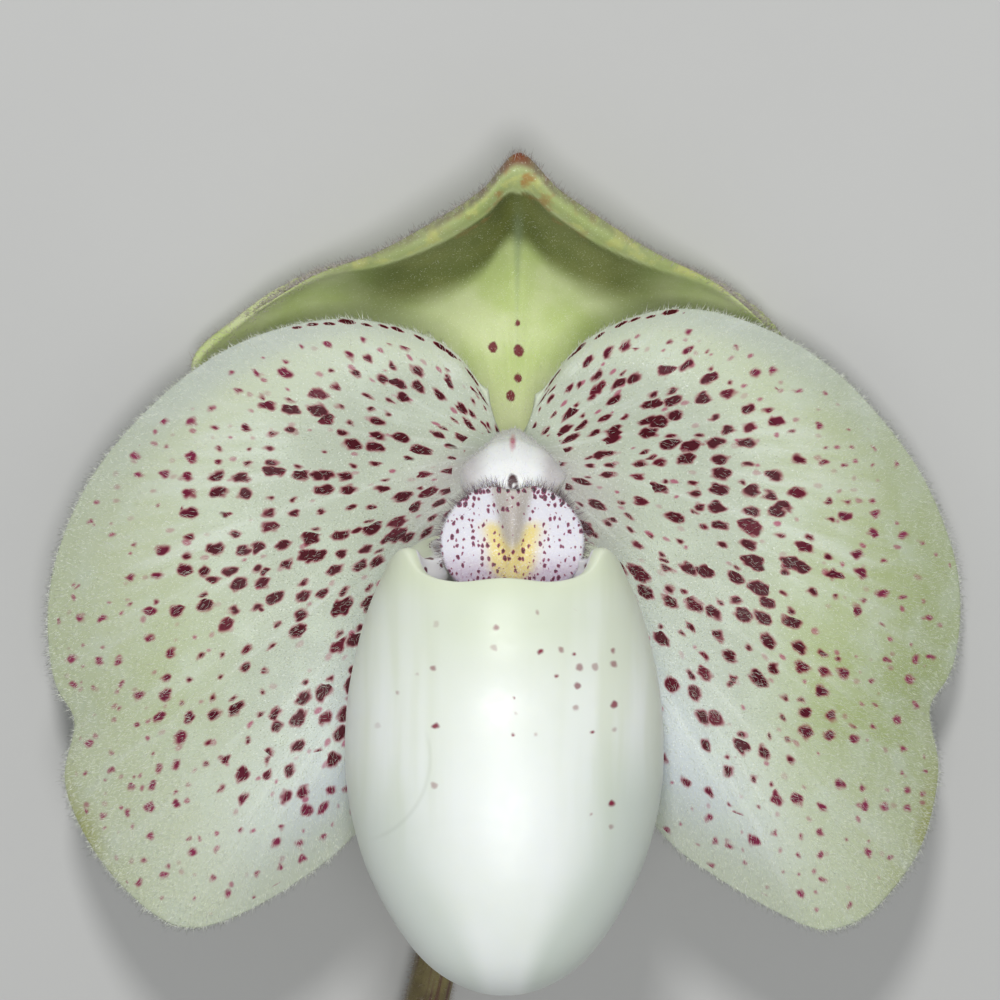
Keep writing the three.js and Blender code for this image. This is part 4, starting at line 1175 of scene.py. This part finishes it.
def addStalkPiece(name, s, sides, radiusOf, material, node, isCut=False):
    turn = around(sides)
    at, sideways, outwards = (found[:, None] for found in placeAt(s))
    radius = radiusOf(s[:, None], turn[None])[..., None]
    rings = at + radius * (sideways * np.cos(turn)[None, :, None] + outwards * np.sin(turn)[None, :, None])
    first, last = ringEnds(rings)
    rings = np.concatenate([first[None], mixed(first, rings[0], 0.5)[None], rings,
                            mixed(last, rings[-1], 0.6)[None], mixed(last, rings[-1], 0.25)[None],
                            last[None]])
    turn = np.tile(turn, len(rings))
    length = np.repeat(np.concatenate([[s[0], s[0]], s, [s[-1]] * 3]), sides)
    cut = np.repeat(np.arange(len(rings)) > len(s) + 1, sides) * float(isCut)
    strand = np.stack([4.8 * np.cos(turn), 4.8 * np.sin(turn), length * 0.12], -1)
    addTube(name, rings, material, {"strand": strand, "cut": cut}, node)


def growStalkHairs(name, span, radiusOf, care, material, rng):
    s, turn = rng.uniform(*span, care["count"]), rng.uniform(0, 2 * np.pi, care["count"])
    at, sideways, outwards = placeAt(s)
    direction = sideways * np.cos(turn)[:, None] + outwards * np.sin(turn)[:, None]
    root = at + direction * (radiusOf(s, turn) - 0.03)[:, None]
    direction = direction + rng.normal(0, 0.35, root.shape)
    growHairs(name, (root, direction, rng.uniform(*care["length"], len(s))), care, material, rng)


def buildStalk():
    care = stalkCare
    joint, end = care["ovary"], care["ovary"] + care["gap"] + care["stem"]
    addStalkPiece("ribbedOvary", np.linspace(0, joint, 130), 96, ovaryRadius,
                  stalkMaterial("ovary skin", *care["ovaryColours"]), "ovary")
    addStalkPiece("cutStem", np.linspace(joint + care["gap"] / 2, end, 110), 72, stemRadius,
                  stalkMaterial("stem skin", *care["stemColours"]), "stem", isCut=True)
    rng = np.random.default_rng(care["seed"])
    hair = hairMaterial("stalk hairs", *care["hairColours"])
    growStalkHairs("ovaryDown", (1.0, joint - 0.3), ovaryRadius, care["ovaryHairs"], hair, rng)
    growStalkHairs("stemDown", (joint + 0.5, end - 0.2), stemRadius, care["stemHairs"], hair, rng)


bractCare = {
    "below": 3.5, "above": 11.0, "turn": 55.0, "thickness": 0.7, "room": 0.35, "wrap": 150.0, "taper": 0.62,
    "veins": 9, "veinHeight": 0.03, "colours": [(118, 134, 66), (150, 162, 92), (110, 88, 56)],
}


def bractPoint(t, w, lift):
    care = bractCare
    s = stalkCare["ovary"] + care["below"] - t * (care["below"] + care["above"])
    at, sideways, outwards = placeAt(s)
    opening = math.radians(care["wrap"]) * (1 - t) ** care["taper"] + 0.02
    angle = math.pi / 2 + math.radians(care["turn"]) + opening * (2 * w - 1)
    inside = np.maximum(stalkCare["stemTop"], ovaryGirth(np.clip(s / stalkCare["ovary"], 0, 1))
                        * (1 + stalkCare["ribDepth"]))
    radius = (inside + care["room"] + lift)[..., None]
    return at + radius * (sideways * np.cos(angle)[..., None] + outwards * np.sin(angle)[..., None])


def buildBract():
    care = bractCare
    t, w = np.meshgrid(crowdedTo(70, 0.03, 4), crowdedTo(80, 0.01, 4, True), indexing="ij")
    inner, outer = bractPoint(t, w, 0 * t), bractPoint(t, w, 0 * t + care["thickness"])
    toEdge, toSide = rimDistance(outer)
    lengths = np.linalg.norm(np.diff(outer, axis=0), axis=-1)
    fromFoot = np.cumsum(np.vstack([np.zeros(t.shape[1]), lengths]), 0)
    near = np.clip(np.minimum(np.minimum(toEdge, toSide), fromFoot) / 0.4, 0, 1)[..., None]
    half = 0.5 * np.sqrt(np.clip(1 - (1 - near) ** 2, 0, 1))
    half[0], half[-1], half[:, 0], half[:, -1] = 0, 0, 0, 0
    veins = care["veinHeight"] * (np.cos(2 * np.pi * care["veins"] * w) * np.sin(np.pi * w))[..., None]
    middle, across = (inner + outer) / 2, outer - inner
    points, triangles = twoSided(middle + across * (half + veins * half), middle - across * half)
    strand = np.tile(np.column_stack([40 * w.ravel(), 0 * w.ravel(), 1.2 * t.ravel()]), (2, 1))
    addPiece("sheathBract", points, triangles, stalkMaterial("bract skin", *care["colours"]),
             {"strand": strand, "cut": np.zeros(len(points))}, "bract")


stageCare = {
    "floor": (196, 196, 194), "floorPatch": (188, 188, 186), "floorHalf": 0.9, "room": 0.22,
    "floorLook": {"rough": (0.7, 0.8), "bump": (0.05, 0.05), "gloss": 0.2},
    "roomColour": (0.92, 0.96, 1.0, 1.0), "aim": (0, -6, 5),
    "key": {"where": (-20, 210, 530), "size": 0.08, "power": 1.55},
    "fill": {"where": (20, -130, 590), "size": 0.25, "power": 1.5},
    "lens": 211.5, "distance": 450.0, "aside": -0.92,
}


def buildFloor():
    half = stageCare["floorHalf"]
    mesh = bpy.data.meshes.new("floor")
    corners = [(-half, -half, 0), (half, -half, 0), (half, half, 0), (-half, half, 0)]
    mesh.from_pydata(corners, [], [(0, 1, 2, 3)])
    skin = Skin("plain floor", stageCare["floor"])
    skin.over(skin.patches(0.02, 3.0, 0.3, 0.7, 0.0, 0.3), stageCare["floorPatch"])
    mesh.materials.append(skin.finish(skin.noise(0.5), skin.noise(1.0), **stageCare["floorLook"]))
    addObject("floor", mesh)


def addSoftbox(name, box):
    light = bpy.data.lights.new(name, "AREA")
    light.shape, light.size, light.energy = "DISK", box["size"], box["power"]
    spot = Matrix.Translation(toRow(box["where"]))
    aim = Matrix.Translation(toRow(stageCare["aim"])).translation - spot.translation
    addObject(name, light).matrix_world = spot @ aim.to_track_quat("-Z", "Y").to_matrix().to_4x4()


def buildStage():
    care = stageCare
    buildFloor()
    world = bpy.data.worlds.new("pale room")
    bpy.context.scene.world = world
    world.use_nodes = True
    background = world.node_tree.nodes["Background"]
    background.inputs["Color"].default_value = care["roomColour"]
    background.inputs["Strength"].default_value = care["room"]
    addSoftbox("key softbox", care["key"])
    addSoftbox("fill softbox", care["fill"])
    camera = bpy.data.cameras.new("camera")
    camera.sensor_width, camera.lens = 36.0, care["lens"]
    camera.clip_start, camera.clip_end = 0.01, 20.0
    viewer = addObject("camera", camera)
    viewer.matrix_world = Matrix.Translation(toRow((care["aside"], 0, care["distance"]))) @ lieTurn.to_4x4()
    bpy.context.scene.camera = viewer
    bpy.context.scene.view_settings.view_transform = "Standard"


buildStage()
print("stage set")
buildPetals()
print("petals made")
buildSepals()
print("sepals made")
buildPouch()
print("pouch made")
buildColumn()
buildStaminode()
buildStigma()
buildAnthers()
print("column and its organs made")
buildStalk()
buildBract()
print("ovary, bract and stem made")
